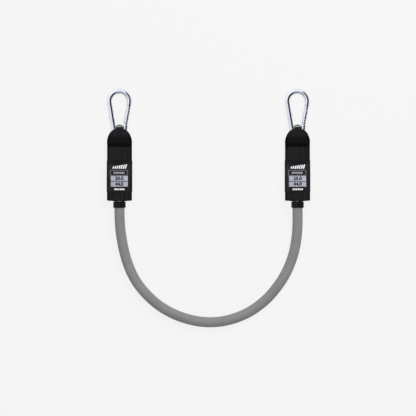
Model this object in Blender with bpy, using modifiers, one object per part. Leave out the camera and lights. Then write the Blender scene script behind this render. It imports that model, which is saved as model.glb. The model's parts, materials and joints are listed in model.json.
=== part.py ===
"""Resistance tube, lying flat on the plane z = 0 with its two snap hooks towards +Y.

A hollow rubber tube has a plug in each end. Each plugged end is held in the pocket of a folded webbing
strap, under a sleeve-like label, with a collar where the tube leaves the strap. A tapered webbing loop joins
the strap to a round eyelet, which is captive in the narrow end of a pear-shaped snap hook with a sprung gate.

Metres. The two ends are alike and not mirrored: both gates are on the +X side. Each end is laid out around
the middle of its eyelet: x across the strap, y towards the hook's wide end, z up from the plane.
"""

import math

import bmesh
import bpy
from mathutils import Vector

MM = 0.001

# Clearances
GAP = 0.3 * MM  # between pieces that touch or rest on each other
NOSE_GAP = 0.5 * MM  # from the gate's tip to the hook's nose, so that the corner of the gate swings past
NOTCH_GAP = 0.35 * MM  # around the latch pin in the nose's notch
SLOT_GAP = 0.6 * MM  # from the nose's tongue to the bottom of the gate's slot
CAM_GAP = 0.1 * MM  # from the cam's farthest reach to the bottom of the hinge slot
LOOP_SLACK = 0.55 * MM  # around the webbing in the eyelet's bore
LOOP_REST = 0.4 * MM  # under the webbing, where it passes below the eyelet
COLLAR_DROP = 0.6 * MM  # between the strap's fold and the collar
TRIM = 0.03 * MM  # from a cutting face to the face that it must not share

# The two ends
END_SPACING = 219.0 * MM  # between the middle lines of the straps
EYE_Y = 23.7 * MM  # world Y of both eyelets
AXIS_MARK = 5.0 * MM  # drawn size of the marks on the joints' axes

# Rubber tube and its plugs
TUBE_OD = 12.5 * MM
TUBE_ID = 6.0 * MM
PLUG_SPREAD = 1.5 * MM  # how far the plug widens the tube's bore, on the radius
PLUG_LENGTH = 16.0 * MM
PLUG_BARB = 0.5 * MM
PLUG_BARBS = 3
PLUG_HEAD_LIP = 0.7 * MM
PLUG_HEAD = 2.5 * MM
PLUG_EDGE = 0.6 * MM
FLARE_LENGTH = 3.0 * MM  # over which the stretched tube narrows again below its plug
ROUTE_STEP = 25.0 * MM  # between points of the tube, two tube diameters
ROUTE_FINENESS = 24

# The tube's route from the left collar to the right one, in world millimetres, chosen by hand
ROUTE = [
    (-108.7, -96.1, 8.7),
    (-106.8, -110.8, 7.5),
    (-104.0, -125.6, 6.7),
    (-99.8, -140.4, 6.35),
    (-93.7, -155.1, 6.25),
    (-84.6, -169.9, 6.25),
    (-66.4, -188.9, 6.25),
    (-46.7, -201.8, 6.25),
    (-27.0, -209.5, 6.25),
    (-7.3, -213.4, 6.25),
    (12.3, -213.3, 6.25),
    (32.0, -209.0, 6.25),
    (51.7, -200.2, 6.25),
    (71.4, -185.3, 6.25),
    (85.0, -169.6, 6.25),
    (94.3, -155.1, 6.25),
    (101.0, -140.4, 6.35),
    (105.6, -125.6, 6.7),
    (108.2, -110.8, 7.5),
    (109.4, -96.1, 8.7),
]

# Webbing: the folded strap, and the loop that is sewn between its two layers
WEB_WIDTH = 30.5 * MM
WEB_THICKNESS = 1.4 * MM
STRAP_TOP_Y = -19.9 * MM
STRAP_LENGTH = 68.3 * MM
STRAP_FOLD_RADIUS = 2.0 * MM
TUBE_IN_STRAP = 22.2 * MM  # from the tube's end to the outside of the fold
POCKET_INSET = 2.0 * MM  # from the sleeve's top edge to where the front layer starts to rise
POCKET_LEAD = 1.0 * MM  # from the pocket's full height to the tube's end
POCKET_STEPS = 10

# Label sleeve around both layers
LABEL_DROP = 18.6 * MM  # from the strap's top edge to the sleeve's
LABEL_LENGTH = 38.7 * MM
LABEL_THICKNESS = 0.5 * MM
LABEL_CORNER = 0.9 * MM
LABEL_HEM = 1.1 * MM  # from the sleeve's top edge to its row of stitches
LABEL_STEPS = 12

# Sewing threads
THREAD = 0.3 * MM
STITCH_RISE = 0.1 * MM
STITCHES_IN_ROW = 8
SEAM_ROWS = 5
SEAM_MARGIN = 2.05 * MM  # from the webbing's long edges to the seam
SEAM_INSET = 2.5 * MM  # from the strap's and the sleeve's top edges to the seam's outer rows
LOOP_TAIL = 1.0 * MM  # from the loop's sewn ends to the sleeve

# Collar on the tube under the strap
COLLAR_LENGTH = 8.0 * MM
COLLAR_WALL = 1.15 * MM
COLLAR_ROUNDING = 0.9 * MM
COLLAR_LIP = 0.4 * MM

# Snap hook, in the plane of its wire around the eyelet's middle
WIRE = 5.7 * MM
NARROW_RADIUS = 6.9 * MM  # to the middle of the wire
WIDE_RADIUS = 12.2 * MM
WIDE_X = -0.3 * MM
WIDE_Y = 34.5 * MM
HINGE_SHIFT = 0.45 * MM  # of the round wire's end below the gate, across from the narrow bend
HINGE_END_Y = 5.2 * MM
PIVOT_SHIFT = 0.55 * MM  # from the wire's end to the rivet, across
PIVOT_RISE = 3.4 * MM  # and along the hook
GATE_LEAN = math.radians(10.0)
GATE_DIAMETER = 5.2 * MM
GATE_LENGTH = 20.0 * MM
GATE_EDGE = 0.5 * MM
HINGE_TONGUE = 2.0 * MM  # thickness
CAM_RADIUS = 2.4 * MM
CAM_THROW = 0.8 * MM
CAM_DIRECTION = math.radians(170.0)
NOSE_TONGUE = 1.8 * MM
NOSE_TONGUE_WIDTH = 4.6 * MM
NOSE_TONGUE_LENGTH = 5.9 * MM
NOSE_ROOT = 3.0 * MM  # how far the nose's tongue runs into the wire
LATCH_TO_TIP = 2.8 * MM
LATCH_RADIUS = 0.8 * MM
RIVET_RADIUS = 0.9 * MM
PIN_EDGE = 0.2 * MM
NARROW_STEPS = 12
WIDE_STEPS = 15

# Gate spring and pusher, in a bore along the gate
BORE_END_WALL = 2.0 * MM
PUSHER_RADIUS = 1.15 * MM
PUSHER_HEAD = 1.7 * MM
STEM_RADIUS = 0.4 * MM
STEM_LENGTH = 3.6 * MM
SPRING_WIRE = 0.4 * MM
SPRING_TURNS = 7
SPRING_POINTS = 8

# Eyelet, formed around the hook's wire
EYELET_WALL = 0.6 * MM
EYELET_LIP = 1.33 * MM  # from the wire's middle line to the eyelet's rolled rims
EYELET_STEPS = 6

# The webbing loop: each section lies at an angle around the hook's wire, at a distance outside the eyelet.
# Its width and thinness are shares of the way from the round waist in the eyelet, 0, to the flat webbing, 1.
LOOP_SECTIONS = [  # angle, distance, width, thinness, squareness of its corners
    (math.radians(0.0), LOOP_SLACK, 0.0, 0.0, 2.0),
    (math.radians(15.7), 0.9 * MM, 0.02, 0.13, 2.0),
    (math.radians(30.2), 1.95 * MM, 0.17, 0.45, 2.2),
    (math.radians(42.7), 2.0 * MM, 0.47, 0.71, 2.6),
    (math.radians(61.6), 1.0 * MM, 0.71, 0.87, 3.5),
    (math.radians(103.0), 0.4 * MM, 0.93, 0.97, 5.0),
]
LEG_DROP = 0.55  # share of the way down to the strap, halfway along a leg of the loop
LEG_SQUARENESS = 6.5
FLAT_SQUARENESS = 8.0
LOOP_SECTION_POINTS = 20

# Facets
TUBE_ROUNDNESS = 4
PLUG_SIDES = 20
RING_SIDES = 28
HOLE_SIDES = 24
ROD_SIDES = 20
BORE_SIDES = 16
PIN_SIDES = 12
FOLD_STEPS = 4
SHARP_EDGE = math.radians(40.0)

# Worked out from the sizes above
PLUG_RADIUS = TUBE_ID / 2 + PLUG_SPREAD
TUBE_FLARE_BORE = PLUG_RADIUS + GAP
TUBE_FLARE_RADIUS = math.sqrt(TUBE_FLARE_BORE**2 + (TUBE_OD**2 - TUBE_ID**2) / 4)
STRAP_BACK_Z = LABEL_THICKNESS + GAP + WEB_THICKNESS / 2
LAYER = WEB_THICKNESS + GAP
LOOP_BACK_Z = STRAP_BACK_Z + LAYER
LOOP_FRONT_Z = LOOP_BACK_Z + LAYER
STRAP_FRONT_Z = LOOP_FRONT_Z + LAYER
TUBE_AXIS_Z = STRAP_BACK_Z + WEB_THICKNESS / 2 + GAP + TUBE_FLARE_RADIUS
POCKET_FRONT_Z = 2 * TUBE_AXIS_Z - STRAP_BACK_Z
STRAP_BOTTOM_Y = STRAP_TOP_Y - STRAP_LENGTH
TUBE_END_Y = STRAP_BOTTOM_Y + TUBE_IN_STRAP
LABEL_TOP_Y = STRAP_TOP_Y - LABEL_DROP
LABEL_BOTTOM_Y = LABEL_TOP_Y - LABEL_LENGTH
LOOP_END_Y = LABEL_TOP_Y + LOOP_TAIL
POCKET_START_Y = LABEL_TOP_Y - POCKET_INSET
POCKET_FULL_Y = TUBE_END_Y + POCKET_LEAD
SEAM_FIRST_Y = STRAP_TOP_Y - SEAM_INSET
SEAM_PITCH = (SEAM_FIRST_Y - LABEL_TOP_Y - SEAM_INSET) / (SEAM_ROWS - 1)
STITCH_PITCH = (WEB_WIDTH - 2 * SEAM_MARGIN) / STITCHES_IN_ROW
COLLAR_TOP_Y = STRAP_BOTTOM_Y - COLLAR_DROP
COLLAR_BOTTOM_Y = COLLAR_TOP_Y - COLLAR_LENGTH
HOLE_RADIUS = TUBE_OD / 2 + GAP
HINGE_END_X = NARROW_RADIUS + HINGE_SHIFT
PIVOT_X = HINGE_END_X + PIVOT_SHIFT
PIVOT_Y = HINGE_END_Y + PIVOT_RISE
FORK_DEPTH = CAM_RADIUS + CAM_THROW + CAM_GAP
TIP_SLOT_Y = GATE_LENGTH + NOSE_GAP - NOSE_TONGUE_LENGTH - SLOT_GAP
LATCH_Y = GATE_LENGTH - LATCH_TO_TIP
RIVET_HOLE = RIVET_RADIUS + GAP
LATCH_HOLE = LATCH_RADIUS + GAP
BORE_DEPTH = TIP_SLOT_Y - BORE_END_WALL
BORE_RADIUS = PUSHER_RADIUS + GAP
PUSHER_START = CAM_RADIUS + GAP
EYELET_FACE = WIRE / 2 + GAP + EYELET_WALL  # from the wire's middle line to the eyelet's inner face
WAIST = NARROW_RADIUS - EYELET_FACE - LOOP_SLACK  # half the webbing's thickness, bunched in the eyelet

FINISHES = {
    "rubber_grey": ((0.262, 0.250, 0.254), 0.55, 0.0),
    "webbing_black": ((0.010, 0.010, 0.011), 0.80, 0.0),
    "label_black": ((0.022, 0.022, 0.025), 0.55, 0.0),
    "thread_black": ((0.018, 0.018, 0.019), 0.70, 0.0),
    "rubber_black": ((0.013, 0.015, 0.017), 0.60, 0.0),
    "nylon_white": ((0.62, 0.61, 0.58), 0.45, 0.0),
    "plated_steel": ((0.78, 0.79, 0.83), 0.18, 1.0),
    "eyelet_steel": ((0.30, 0.31, 0.33), 0.30, 1.0),
    "spring_steel": ((0.45, 0.45, 0.46), 0.30, 1.0),
}


def clear_scene():
    for old in list(bpy.data.objects):
        bpy.data.objects.remove(old, do_unlink=True)


def new_collection(name):
    collection = bpy.data.collections.new(name)
    bpy.context.scene.collection.children.link(collection)
    return collection


def make_material(name, finish):
    colour, roughness, metallic = FINISHES[finish]
    material = bpy.data.materials.new(name)
    material.use_nodes = True
    shader = material.node_tree.nodes["Principled BSDF"]
    shader.inputs["Base Color"].default_value = (*colour, 1.0)
    shader.inputs["Roughness"].default_value = roughness
    shader.inputs["Metallic"].default_value = metallic
    material.diffuse_color = (*colour, 1.0)
    return material


def place(obj, parent, location=(0, 0, 0), rotation=(0, 0, 0)):
    obj.parent = parent
    obj.location = location
    obj.rotation_euler = rotation
    return obj


def make_empty(name, parent, location, rotation=(0, 0, 0)):
    empty = bpy.data.objects.new(name, None)
    empty.empty_display_size = AXIS_MARK
    PARTS.objects.link(empty)
    return place(empty, parent, location, rotation)


def object_from(bm, name, recalculate=True):
    """A loose object from a bmesh, with its faces pointing out."""
    if recalculate:
        bmesh.ops.recalc_face_normals(bm, faces=bm.faces)
    mesh = bpy.data.meshes.new(name)
    bm.to_mesh(mesh)
    bm.free()
    return bpy.data.objects.new(name, mesh)


def as_part(obj, finish, smooth=True):
    PARTS.objects.link(obj)
    obj.data.materials.append(make_material(obj.name + "_finish", finish))
    if smooth:
        obj.data.shade_smooth()
        obj.data.set_sharp_from_angle(angle=SHARP_EDGE)
    return obj


def as_cutter(obj):
    CUTTERS.objects.link(obj)
    obj.hide_render = True
    obj.display_type = "WIRE"
    return obj


def combine(obj, other, operation):
    modifier = obj.modifiers.new(other.name, "BOOLEAN")
    modifier.operation = operation
    modifier.object = other
    modifier.solver = "EXACT"


def curve_as_mesh(name, splines, bevel, resolution, extrude=0.0):
    """A mesh from a curve: open splines of (x, y, z, radius) swept round, or flat outlines made a plate."""
    curve = bpy.data.curves.new(name, "CURVE")
    flat = extrude > 0
    curve.dimensions = "2D" if flat else "3D"
    curve.fill_mode = "BOTH" if flat else "FULL"
    curve.extrude = extrude
    curve.bevel_depth = bevel
    curve.bevel_resolution = resolution
    curve.use_fill_caps = True
    for points in splines:
        spline = curve.splines.new("POLY")
        spline.points.add(len(points) - 1)
        for point, (x, y, z, radius) in zip(spline.points, points):
            point.co = (x, y, z, 1.0)
            point.radius = radius
        spline.use_cyclic_u = flat
    source = bpy.data.objects.new(name + "_curve", curve)
    bpy.context.scene.collection.objects.link(source)
    evaluated = source.evaluated_get(bpy.context.evaluated_depsgraph_get())
    mesh = bpy.data.meshes.new_from_object(evaluated)
    mesh.name = name
    bm = bmesh.new()
    bm.from_mesh(mesh)
    bmesh.ops.remove_doubles(bm, verts=bm.verts, dist=0.00001)
    bmesh.ops.recalc_face_normals(bm, faces=bm.faces)
    bm.to_mesh(mesh)
    bm.free()
    obj = bpy.data.objects.new(name, mesh)
    obj.matrix_world = source.matrix_world
    bpy.data.objects.remove(source, do_unlink=True)
    return obj


def plate(name, outline, thickness):
    """A flat piece in the XY plane, centred on it."""
    return curve_as_mesh(name, [[(x, y, 0.0, 1.0) for x, y in outline]], 0.0, 0, thickness / 2)


def wire(name, points, diameter, resolution):
    return curve_as_mesh(name, [[(*point, 1.0) for point in points]], diameter / 2, resolution)


def turned(name, profile, steps, closed=False):
    """A profile of (radius, height) pairs, top to bottom on its outer side, turned round the Z axis."""
    bm = bmesh.new()
    verts = [bm.verts.new((radius, 0.0, height)) for radius, height in profile]
    for a, b in zip(verts, verts[1:]):
        bm.edges.new((a, b))
    if closed:
        bm.edges.new((verts[-1], verts[0]))
    obj = object_from(bm, name, recalculate=False)
    screw = obj.modifiers.new("turn", "SCREW")
    screw.steps = steps
    screw.render_steps = steps
    screw.use_merge_vertices = True
    screw.merge_threshold = 0.00001
    screw.use_smooth_shade = True
    return obj


def loft(name, rings):
    """A solid through closed rings of points, with a flat cap at each end."""
    bm = bmesh.new()
    rows = [[bm.verts.new(point) for point in ring] for ring in rings]
    for row, following in zip(rows, rows[1:]):
        for i in range(len(row)):
            j = (i + 1) % len(row)
            bm.faces.new((row[i], row[j], following[j], following[i]))
    bm.faces.new(rows[0])
    bm.faces.new(rows[-1])
    return object_from(bm, name)


def arc(x, y, radius, start, end, steps):
    """Points along an arc, both ends included; angles in radians."""
    turns = [start + (end - start) * i / steps for i in range(steps + 1)]
    return [(x + radius * math.cos(turn), y + radius * math.sin(turn)) for turn in turns]


def capsule(first, first_radius, second, second_radius, steps=8):
    """The outline around two circles, counter-clockwise."""
    span = math.dist(first, second)
    way = math.atan2(second[1] - first[1], second[0] - first[0])
    spread = math.acos((first_radius - second_radius) / span)
    near = arc(*first, first_radius, way + spread, way - spread + 2 * math.pi, steps)
    far = arc(*second, second_radius, way - spread, way + spread, steps)
    return near + far


def rounded_section(half_width, half_height, power, count):
    """A flat ring with round corners, as (across, up) pairs."""
    ring = []
    for i in range(count):
        turn = 2 * math.pi * (i + 0.5) / count
        across, up = math.cos(turn), math.sin(turn)
        across = math.copysign(abs(across) ** (2 / power), across)
        up = math.copysign(abs(up) ** (2 / power), up)
        ring.append((half_width * across, half_height * up))
    return ring


def smooth_route(points):
    """Closely spaced points on a smooth curve through the given ones."""
    pts = [Vector(p) for p in points]
    pts = [2 * pts[0] - pts[1]] + pts + [2 * pts[-1] - pts[-2]]
    dense = []
    for a, b, c, d in zip(pts, pts[1:], pts[2:], pts[3:]):
        ab, bc, cd = (math.sqrt((q - p).length) for p, q in ((a, b), (b, c), (c, d)))
        leave = ((b - a) / ab - (c - a) / (ab + bc) + (c - b) / bc) * bc
        arrive = ((c - b) / bc - (d - b) / (bc + cd) + (d - c) / cd) * bc
        for i in range(ROUTE_FINENESS):
            t = i / ROUTE_FINENESS
            dense.append(
                (2 * t**3 - 3 * t**2 + 1) * b
                + (t**3 - 2 * t**2 + t) * leave
                + (3 * t**2 - 2 * t**3) * c
                + (t**3 - t**2) * arrive
            )
    return dense + [pts[-2]]


def along(dense, stations):
    """Points at the given distances along a closely spaced line."""
    found = []
    walked = 0.0
    waiting = list(stations)
    for a, b in zip(dense, dense[1:]):
        step = (b - a).length
        while waiting and waiting[0] <= walked + step:
            found.append(a.lerp(b, (waiting.pop(0) - walked) / step))
        walked += step
    return found + [dense[-1]] * len(waiting)


def route_length(dense):
    return sum((b - a).length for a, b in zip(dense, dense[1:]))


def front_layer(y):
    """Height and slope of the middle of the strap's front layer, which rises over the tube's end."""
    share = min(max((POCKET_START_Y - y) / (POCKET_START_Y - POCKET_FULL_Y), 0.0), 1.0)
    rise = POCKET_FRONT_Z - STRAP_FRONT_Z
    height = STRAP_FRONT_Z + rise * (1 - math.cos(math.pi * share)) / 2
    slope = -rise * math.pi / 2 * math.sin(math.pi * share) / (POCKET_START_Y - POCKET_FULL_Y)
    return height, math.atan(slope)


def pocket_stations():
    span = POCKET_START_Y - POCKET_FULL_Y
    return [POCKET_START_Y - span * i / POCKET_STEPS for i in range(POCKET_STEPS + 1)]


def tube_route():
    """The whole route, from inside the left strap to inside the right one."""
    half = END_SPACING / 2
    inside = [(EYE_Y + y) for y in (TUBE_END_Y, STRAP_BOTTOM_Y, COLLAR_BOTTOM_Y)]
    left = [(-half, y, TUBE_AXIS_Z) for y in inside]
    right = [(half, y, TUBE_AXIS_Z) for y in reversed(inside)]
    middle = [tuple(value * MM for value in point) for point in ROUTE]
    return smooth_route(left + middle + right)


def make_tube():
    """The hollow tube, stretched over the plugs at both ends, and its bore."""
    dense = tube_route()
    total = route_length(dense)
    straight = TUBE_END_Y - COLLAR_BOTTOM_Y
    flare_end = PLUG_LENGTH + FLARE_LENGTH
    start = [0.0, PLUG_LENGTH, flare_end, straight]
    spans = max(1, round((total - 2 * straight) / ROUTE_STEP))
    free = [straight + (total - 2 * straight) * i / spans for i in range(1, spans)]
    stations = start + free + [total - s for s in reversed(start)]
    points = along(dense, stations)

    def sized(flared, plain, overrun):
        radii = [flared if min(s, total - s) < flare_end - MM else plain for s in stations]
        line = [(*point, radius) for point, radius in zip(points, radii)]
        if overrun:
            line[0] = (points[0].x, points[0].y + overrun, points[0].z, flared)
            line[-1] = (points[-1].x, points[-1].y + overrun, points[-1].z, flared)
        return line

    outer = sized(TUBE_FLARE_RADIUS, TUBE_OD / 2, 0.0)
    inner = sized(TUBE_FLARE_BORE, TUBE_ID / 2, MM)
    tube = as_part(curve_as_mesh("tube", [outer], 1.0, TUBE_ROUNDNESS), "rubber_grey")
    bore = as_cutter(curve_as_mesh("tube_bore", [inner], 1.0, TUBE_ROUNDNESS))
    combine(tube, bore, "DIFFERENCE")
    print(f"tube: {total * 1000:.0f} mm in all, {(total - 2 * straight) * 1000:.0f} mm between the collars")


def make_plug(side, parent):
    """A barbed plug, head towards the hook; its barbs hold the stretched tube."""
    step = PLUG_LENGTH / (PLUG_BARBS + 1)
    root = PLUG_RADIUS - PLUG_BARB
    head = PLUG_RADIUS + PLUG_HEAD_LIP
    top = PLUG_HEAD + GAP
    profile = [(0.0, top), (head - PLUG_EDGE, top), (head, top - PLUG_EDGE), (head, GAP), (root, GAP)]
    for i in range(PLUG_BARBS):
        shoulder = -i * step - PLUG_BARB
        profile += [(root, shoulder), (PLUG_RADIUS, shoulder), (root, -(i + 1) * step)]
    profile += [(PLUG_RADIUS / 2, -PLUG_LENGTH), (0.0, -PLUG_LENGTH)]
    plug = as_part(turned(f"{side}_plug", profile, PLUG_SIDES), "nylon_white")
    place(plug, parent, (0, TUBE_END_Y, 0), (-math.pi / 2, 0, 0))


def make_collar(side, parent):
    top, bottom = COLLAR_TOP_Y, COLLAR_BOTTOM_Y
    outer = HOLE_RADIUS + COLLAR_WALL
    rounding = COLLAR_ROUNDING
    profile = [(outer - COLLAR_LIP, top), (outer, top - COLLAR_LIP)]
    profile += arc(outer - rounding, bottom + rounding, rounding, 0.0, -math.pi / 2, FOLD_STEPS)
    profile += [(HOLE_RADIUS, bottom), (HOLE_RADIUS, top)]
    collar = as_part(turned(f"{side}_collar", profile, RING_SIDES, closed=True), "rubber_black")
    place(collar, parent, (0, 0, 0), (-math.pi / 2, 0, 0))


def round_cutter(name, radius, depth, sides):
    bm = bmesh.new()
    bmesh.ops.create_cone(bm, cap_ends=True, segments=sides, radius1=radius, radius2=radius, depth=depth)
    return object_from(bm, name)


def box_cutter(name, low, high):
    bm = bmesh.new()
    for vert in bmesh.ops.create_cube(bm, size=1.0)["verts"]:
        vert.co = Vector([low[k] + (vert.co[k] + 0.5) * (high[k] - low[k]) for k in range(3)])
    return object_from(bm, name)


def make_strap(side, parent):
    """One band of webbing, folded at the bottom around the tube's end."""
    half = WEB_WIDTH / 2
    wall_y = STRAP_BOTTOM_Y + WEB_THICKNESS / 2
    turn = STRAP_FOLD_RADIUS
    line = [(STRAP_TOP_Y, STRAP_BACK_Z)]
    line += arc(wall_y + turn, STRAP_BACK_Z + turn, turn, -math.pi / 2, -math.pi, FOLD_STEPS)
    line += arc(wall_y + turn, POCKET_FRONT_Z - turn, turn, -math.pi, -1.5 * math.pi, FOLD_STEPS)
    line += [(y, front_layer(y)[0]) for y in reversed(pocket_stations())]
    line += [(STRAP_TOP_Y, STRAP_FRONT_Z)]
    bm = bmesh.new()
    rows = [[bm.verts.new((x, y, z)) for x in (-half, half)] for y, z in line]
    for (a, b), (c, d) in zip(rows, rows[1:]):
        bm.faces.new((a, b, d, c))
    strap = as_part(object_from(bm, f"{side}_strap"), "webbing_black")
    solid = strap.modifiers.new("thickness", "SOLIDIFY")
    solid.thickness = WEB_THICKNESS
    solid.offset = 0.0
    solid.use_even_offset = True
    cutter = as_cutter(round_cutter(f"{side}_strap_hole", HOLE_RADIUS, 4 * WEB_THICKNESS, HOLE_SIDES))
    place(cutter, parent, (0, wall_y, 0), (math.pi / 2, 0, 0))
    combine(strap, cutter, "DIFFERENCE")
    place(strap, parent, (0, 0, -TUBE_AXIS_Z))


def loop_section(turn, distance, width, thinness):
    """One shaped section: its place from the wire's axis, along and above the hook's plane, and half sizes."""
    half_thickness = WAIST + (WEB_THICKNESS / 2 - WAIST) * thinness
    half_width = WAIST + (WEB_WIDTH / 2 - WAIST) * width
    reach = EYELET_FACE + distance + half_thickness
    return reach * math.cos(turn), reach * math.sin(turn), half_width, half_thickness


def eye_height():
    """The eyelet's middle, so high that the loop stays clear of the plane below it."""
    sections = [loop_section(*section[:-1]) for section in LOOP_SECTIONS]
    return LOOP_REST + max(height + half_thickness for _, height, _, half_thickness in sections)


def hook_tilt():
    """The angle at which the hook leans down from its eyelet until its wide end lies on the plane."""
    return math.asin((eye_height() - WIRE / 2) / (NARROW_RADIUS + WIDE_Y + WIDE_RADIUS))


def loop_line():
    """Middle points and sections of the loop, from its front end through the eyelet to its back end."""
    cos, sin = math.cos(hook_tilt()), math.sin(hook_tilt())
    half = WEB_WIDTH / 2
    flat = (half, WEB_THICKNESS / 2, FLAT_SQUARENESS)

    def shaped(side):
        found = []
        for *shape, squareness in LOOP_SECTIONS:
            along_y, height, half_width, half_thickness = loop_section(*shape)
            y = -NARROW_RADIUS + along_y * cos + side * height * sin
            z = eye_height() - along_y * sin + side * height * cos
            found.append((y, z, half_width, half_thickness, squareness))
        return found

    def leg(last, level):
        """From the last shaped section down between the strap's layers."""
        middle_y = (last[0] + STRAP_TOP_Y) / 2
        middle_z = last[1] + (level - last[1]) * LEG_DROP
        return [
            (middle_y, middle_z, half, WEB_THICKNESS / 2, LEG_SQUARENESS),
            (STRAP_TOP_Y, level, *flat),
            (LOOP_END_Y, level, *flat),
        ]

    front, back = shaped(1), shaped(-1)
    front += leg(front[-1], LOOP_FRONT_Z)
    back += leg(back[-1], LOOP_BACK_Z)
    return front[::-1] + back[1:]


def make_hook_loop(side, parent):
    line = loop_line()
    rings = []
    for i, (y, z, width, thickness, power) in enumerate(line):
        before, after = line[max(i - 1, 0)], line[min(i + 1, len(line) - 1)]
        way = Vector((0, after[0] - before[0], after[1] - before[1])).normalized()
        if i in (0, 1):
            way = Vector((0, 1, 0))
        if i >= len(line) - 2:
            way = Vector((0, -1, 0))
        outward = Vector((0, -way.z, way.y))
        middle = Vector((0, y, z))
        ring = rounded_section(width, thickness, power, LOOP_SECTION_POINTS)
        rings.append([middle + Vector((across, 0, 0)) + outward * up for across, up in ring])
    loop = as_part(loft(f"{side}_hook_loop", rings), "webbing_black")
    place(loop, parent, (0, 0, -TUBE_AXIS_Z))


def thread(name, parent, rows, surface, sign):
    """One sewing thread on a face of the webbing, back and forth over its rows, raised at each stitch."""
    low = GAP + THREAD / 2
    side = STITCH_PITCH * STITCHES_IN_ROW / 2
    points = []
    for k, y in enumerate(rows):
        level = surface(y)
        row = []
        for i in range(2 * STITCHES_IN_ROW + 1):
            lift = low + (STITCH_RISE if i % 2 else 0.0)
            row.append((-side + i * STITCH_PITCH / 2, y, level + sign * lift))
        points += reversed(row) if k % 2 else row
    return place(as_part(wire(name, points, THREAD, 0), "thread_black"), parent, (0, 0, -TUBE_AXIS_Z))


def make_stitching(side, parent):
    """The seam of strap and loop, its needle thread in front and bobbin thread behind, and the label's hem."""
    half = WEB_THICKNESS / 2
    hem_y = LABEL_TOP_Y - LABEL_HEM
    rows = [SEAM_FIRST_Y - i * SEAM_PITCH for i in range(SEAM_ROWS)]
    thread(f"{side}_needle_thread", parent, rows, lambda y: STRAP_FRONT_Z + half, 1)
    thread(f"{side}_bobbin_thread", parent, rows, lambda y: STRAP_BACK_Z - half, -1)
    thread(f"{side}_label_thread", parent, [hem_y], lambda y: label_front(y) + LABEL_THICKNESS, 1)


def label_front(y):
    """Height of the sleeve's inner face over the strap's front layer."""
    height, slope = front_layer(y)
    return height + (WEB_THICKNESS / 2 + GAP) / math.cos(slope)


def make_label_sleeve(side, parent):
    """A thin closed band around both layers of the strap."""
    half = WEB_WIDTH / 2 + GAP
    low = STRAP_BACK_Z - WEB_THICKNESS / 2 - GAP
    span = LABEL_TOP_Y - LABEL_BOTTOM_Y
    bm = bmesh.new()
    rows = []
    for i in range(LABEL_STEPS + 1):
        y = LABEL_TOP_Y - span * i / LABEL_STEPS
        high = label_front(y)
        ring = []
        corners = ((1, high, 0.0), (-1, high, 0.5), (-1, low, 1.0), (1, low, 1.5))
        for side_sign, level, turn in corners:
            x = side_sign * (half - LABEL_CORNER)
            z = level + (LABEL_CORNER if level == low else -LABEL_CORNER)
            ring += arc(x, z, LABEL_CORNER, turn * math.pi, (turn + 0.5) * math.pi, 2)
        rows.append([bm.verts.new((x, y, z)) for x, z in ring])
    for row, following in zip(rows, rows[1:]):
        for j in range(len(row)):
            k = (j + 1) % len(row)
            bm.faces.new((row[j], row[k], following[k], following[j]))
    sleeve = as_part(object_from(bm, f"{side}_label_sleeve"), "label_black")
    solid = sleeve.modifiers.new("thickness", "SOLIDIFY")
    solid.thickness = LABEL_THICKNESS
    solid.offset = 1.0
    solid.use_even_offset = True
    place(sleeve, parent, (0, 0, -TUBE_AXIS_Z))


def make_eyelet(side, parent):
    """A thin ring pressed around the inside of the hook's wire, with a mouth that flares on both faces."""
    wire_face = WIRE / 2 + GAP
    wire_turn = math.acos(EYELET_LIP / wire_face)
    bore_turn = math.acos(EYELET_LIP / EYELET_FACE)

    def bend(radius, start, end):
        return arc(NARROW_RADIUS, 0.0, radius, math.pi - start, math.pi - end, EYELET_STEPS)

    profile = bend(wire_face, wire_turn, -wire_turn) + bend(EYELET_FACE, -bore_turn, bore_turn)
    eyelet = as_part(turned(f"{side}_eyelet", profile, RING_SIDES, closed=True), "eyelet_steel")
    place(eyelet, parent, (0, NARROW_RADIUS, 0))


def gate_frame(x, y):
    """A place given along the gate, in the hook's own plane: x across it, y from the pivot to the tip."""
    cos, sin = math.cos(GATE_LEAN), math.sin(GATE_LEAN)
    return PIVOT_X + x * cos + y * sin, PIVOT_Y - x * sin + y * cos


def hook_line():
    """The middle line of the bent wire, from its hinge end round the eyelet and the wide end to the nose."""
    span = math.hypot(WIDE_X, WIDE_Y)
    way = math.atan2(WIDE_Y, WIDE_X)
    lean = math.asin((WIDE_RADIUS - NARROW_RADIUS) / span)
    left = way + math.pi / 2 + lean
    right = way - math.pi / 2 - lean
    nose = gate_frame(0.0, GATE_LENGTH + NOSE_GAP)
    line = [(HINGE_END_X, HINGE_END_Y)]
    line += arc(0.0, 0.0, NARROW_RADIUS, 2 * math.pi, left, NARROW_STEPS)
    line += arc(WIDE_X, WIDE_Y, WIDE_RADIUS, left, right, WIDE_STEPS)
    return line + [nose]


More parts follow.
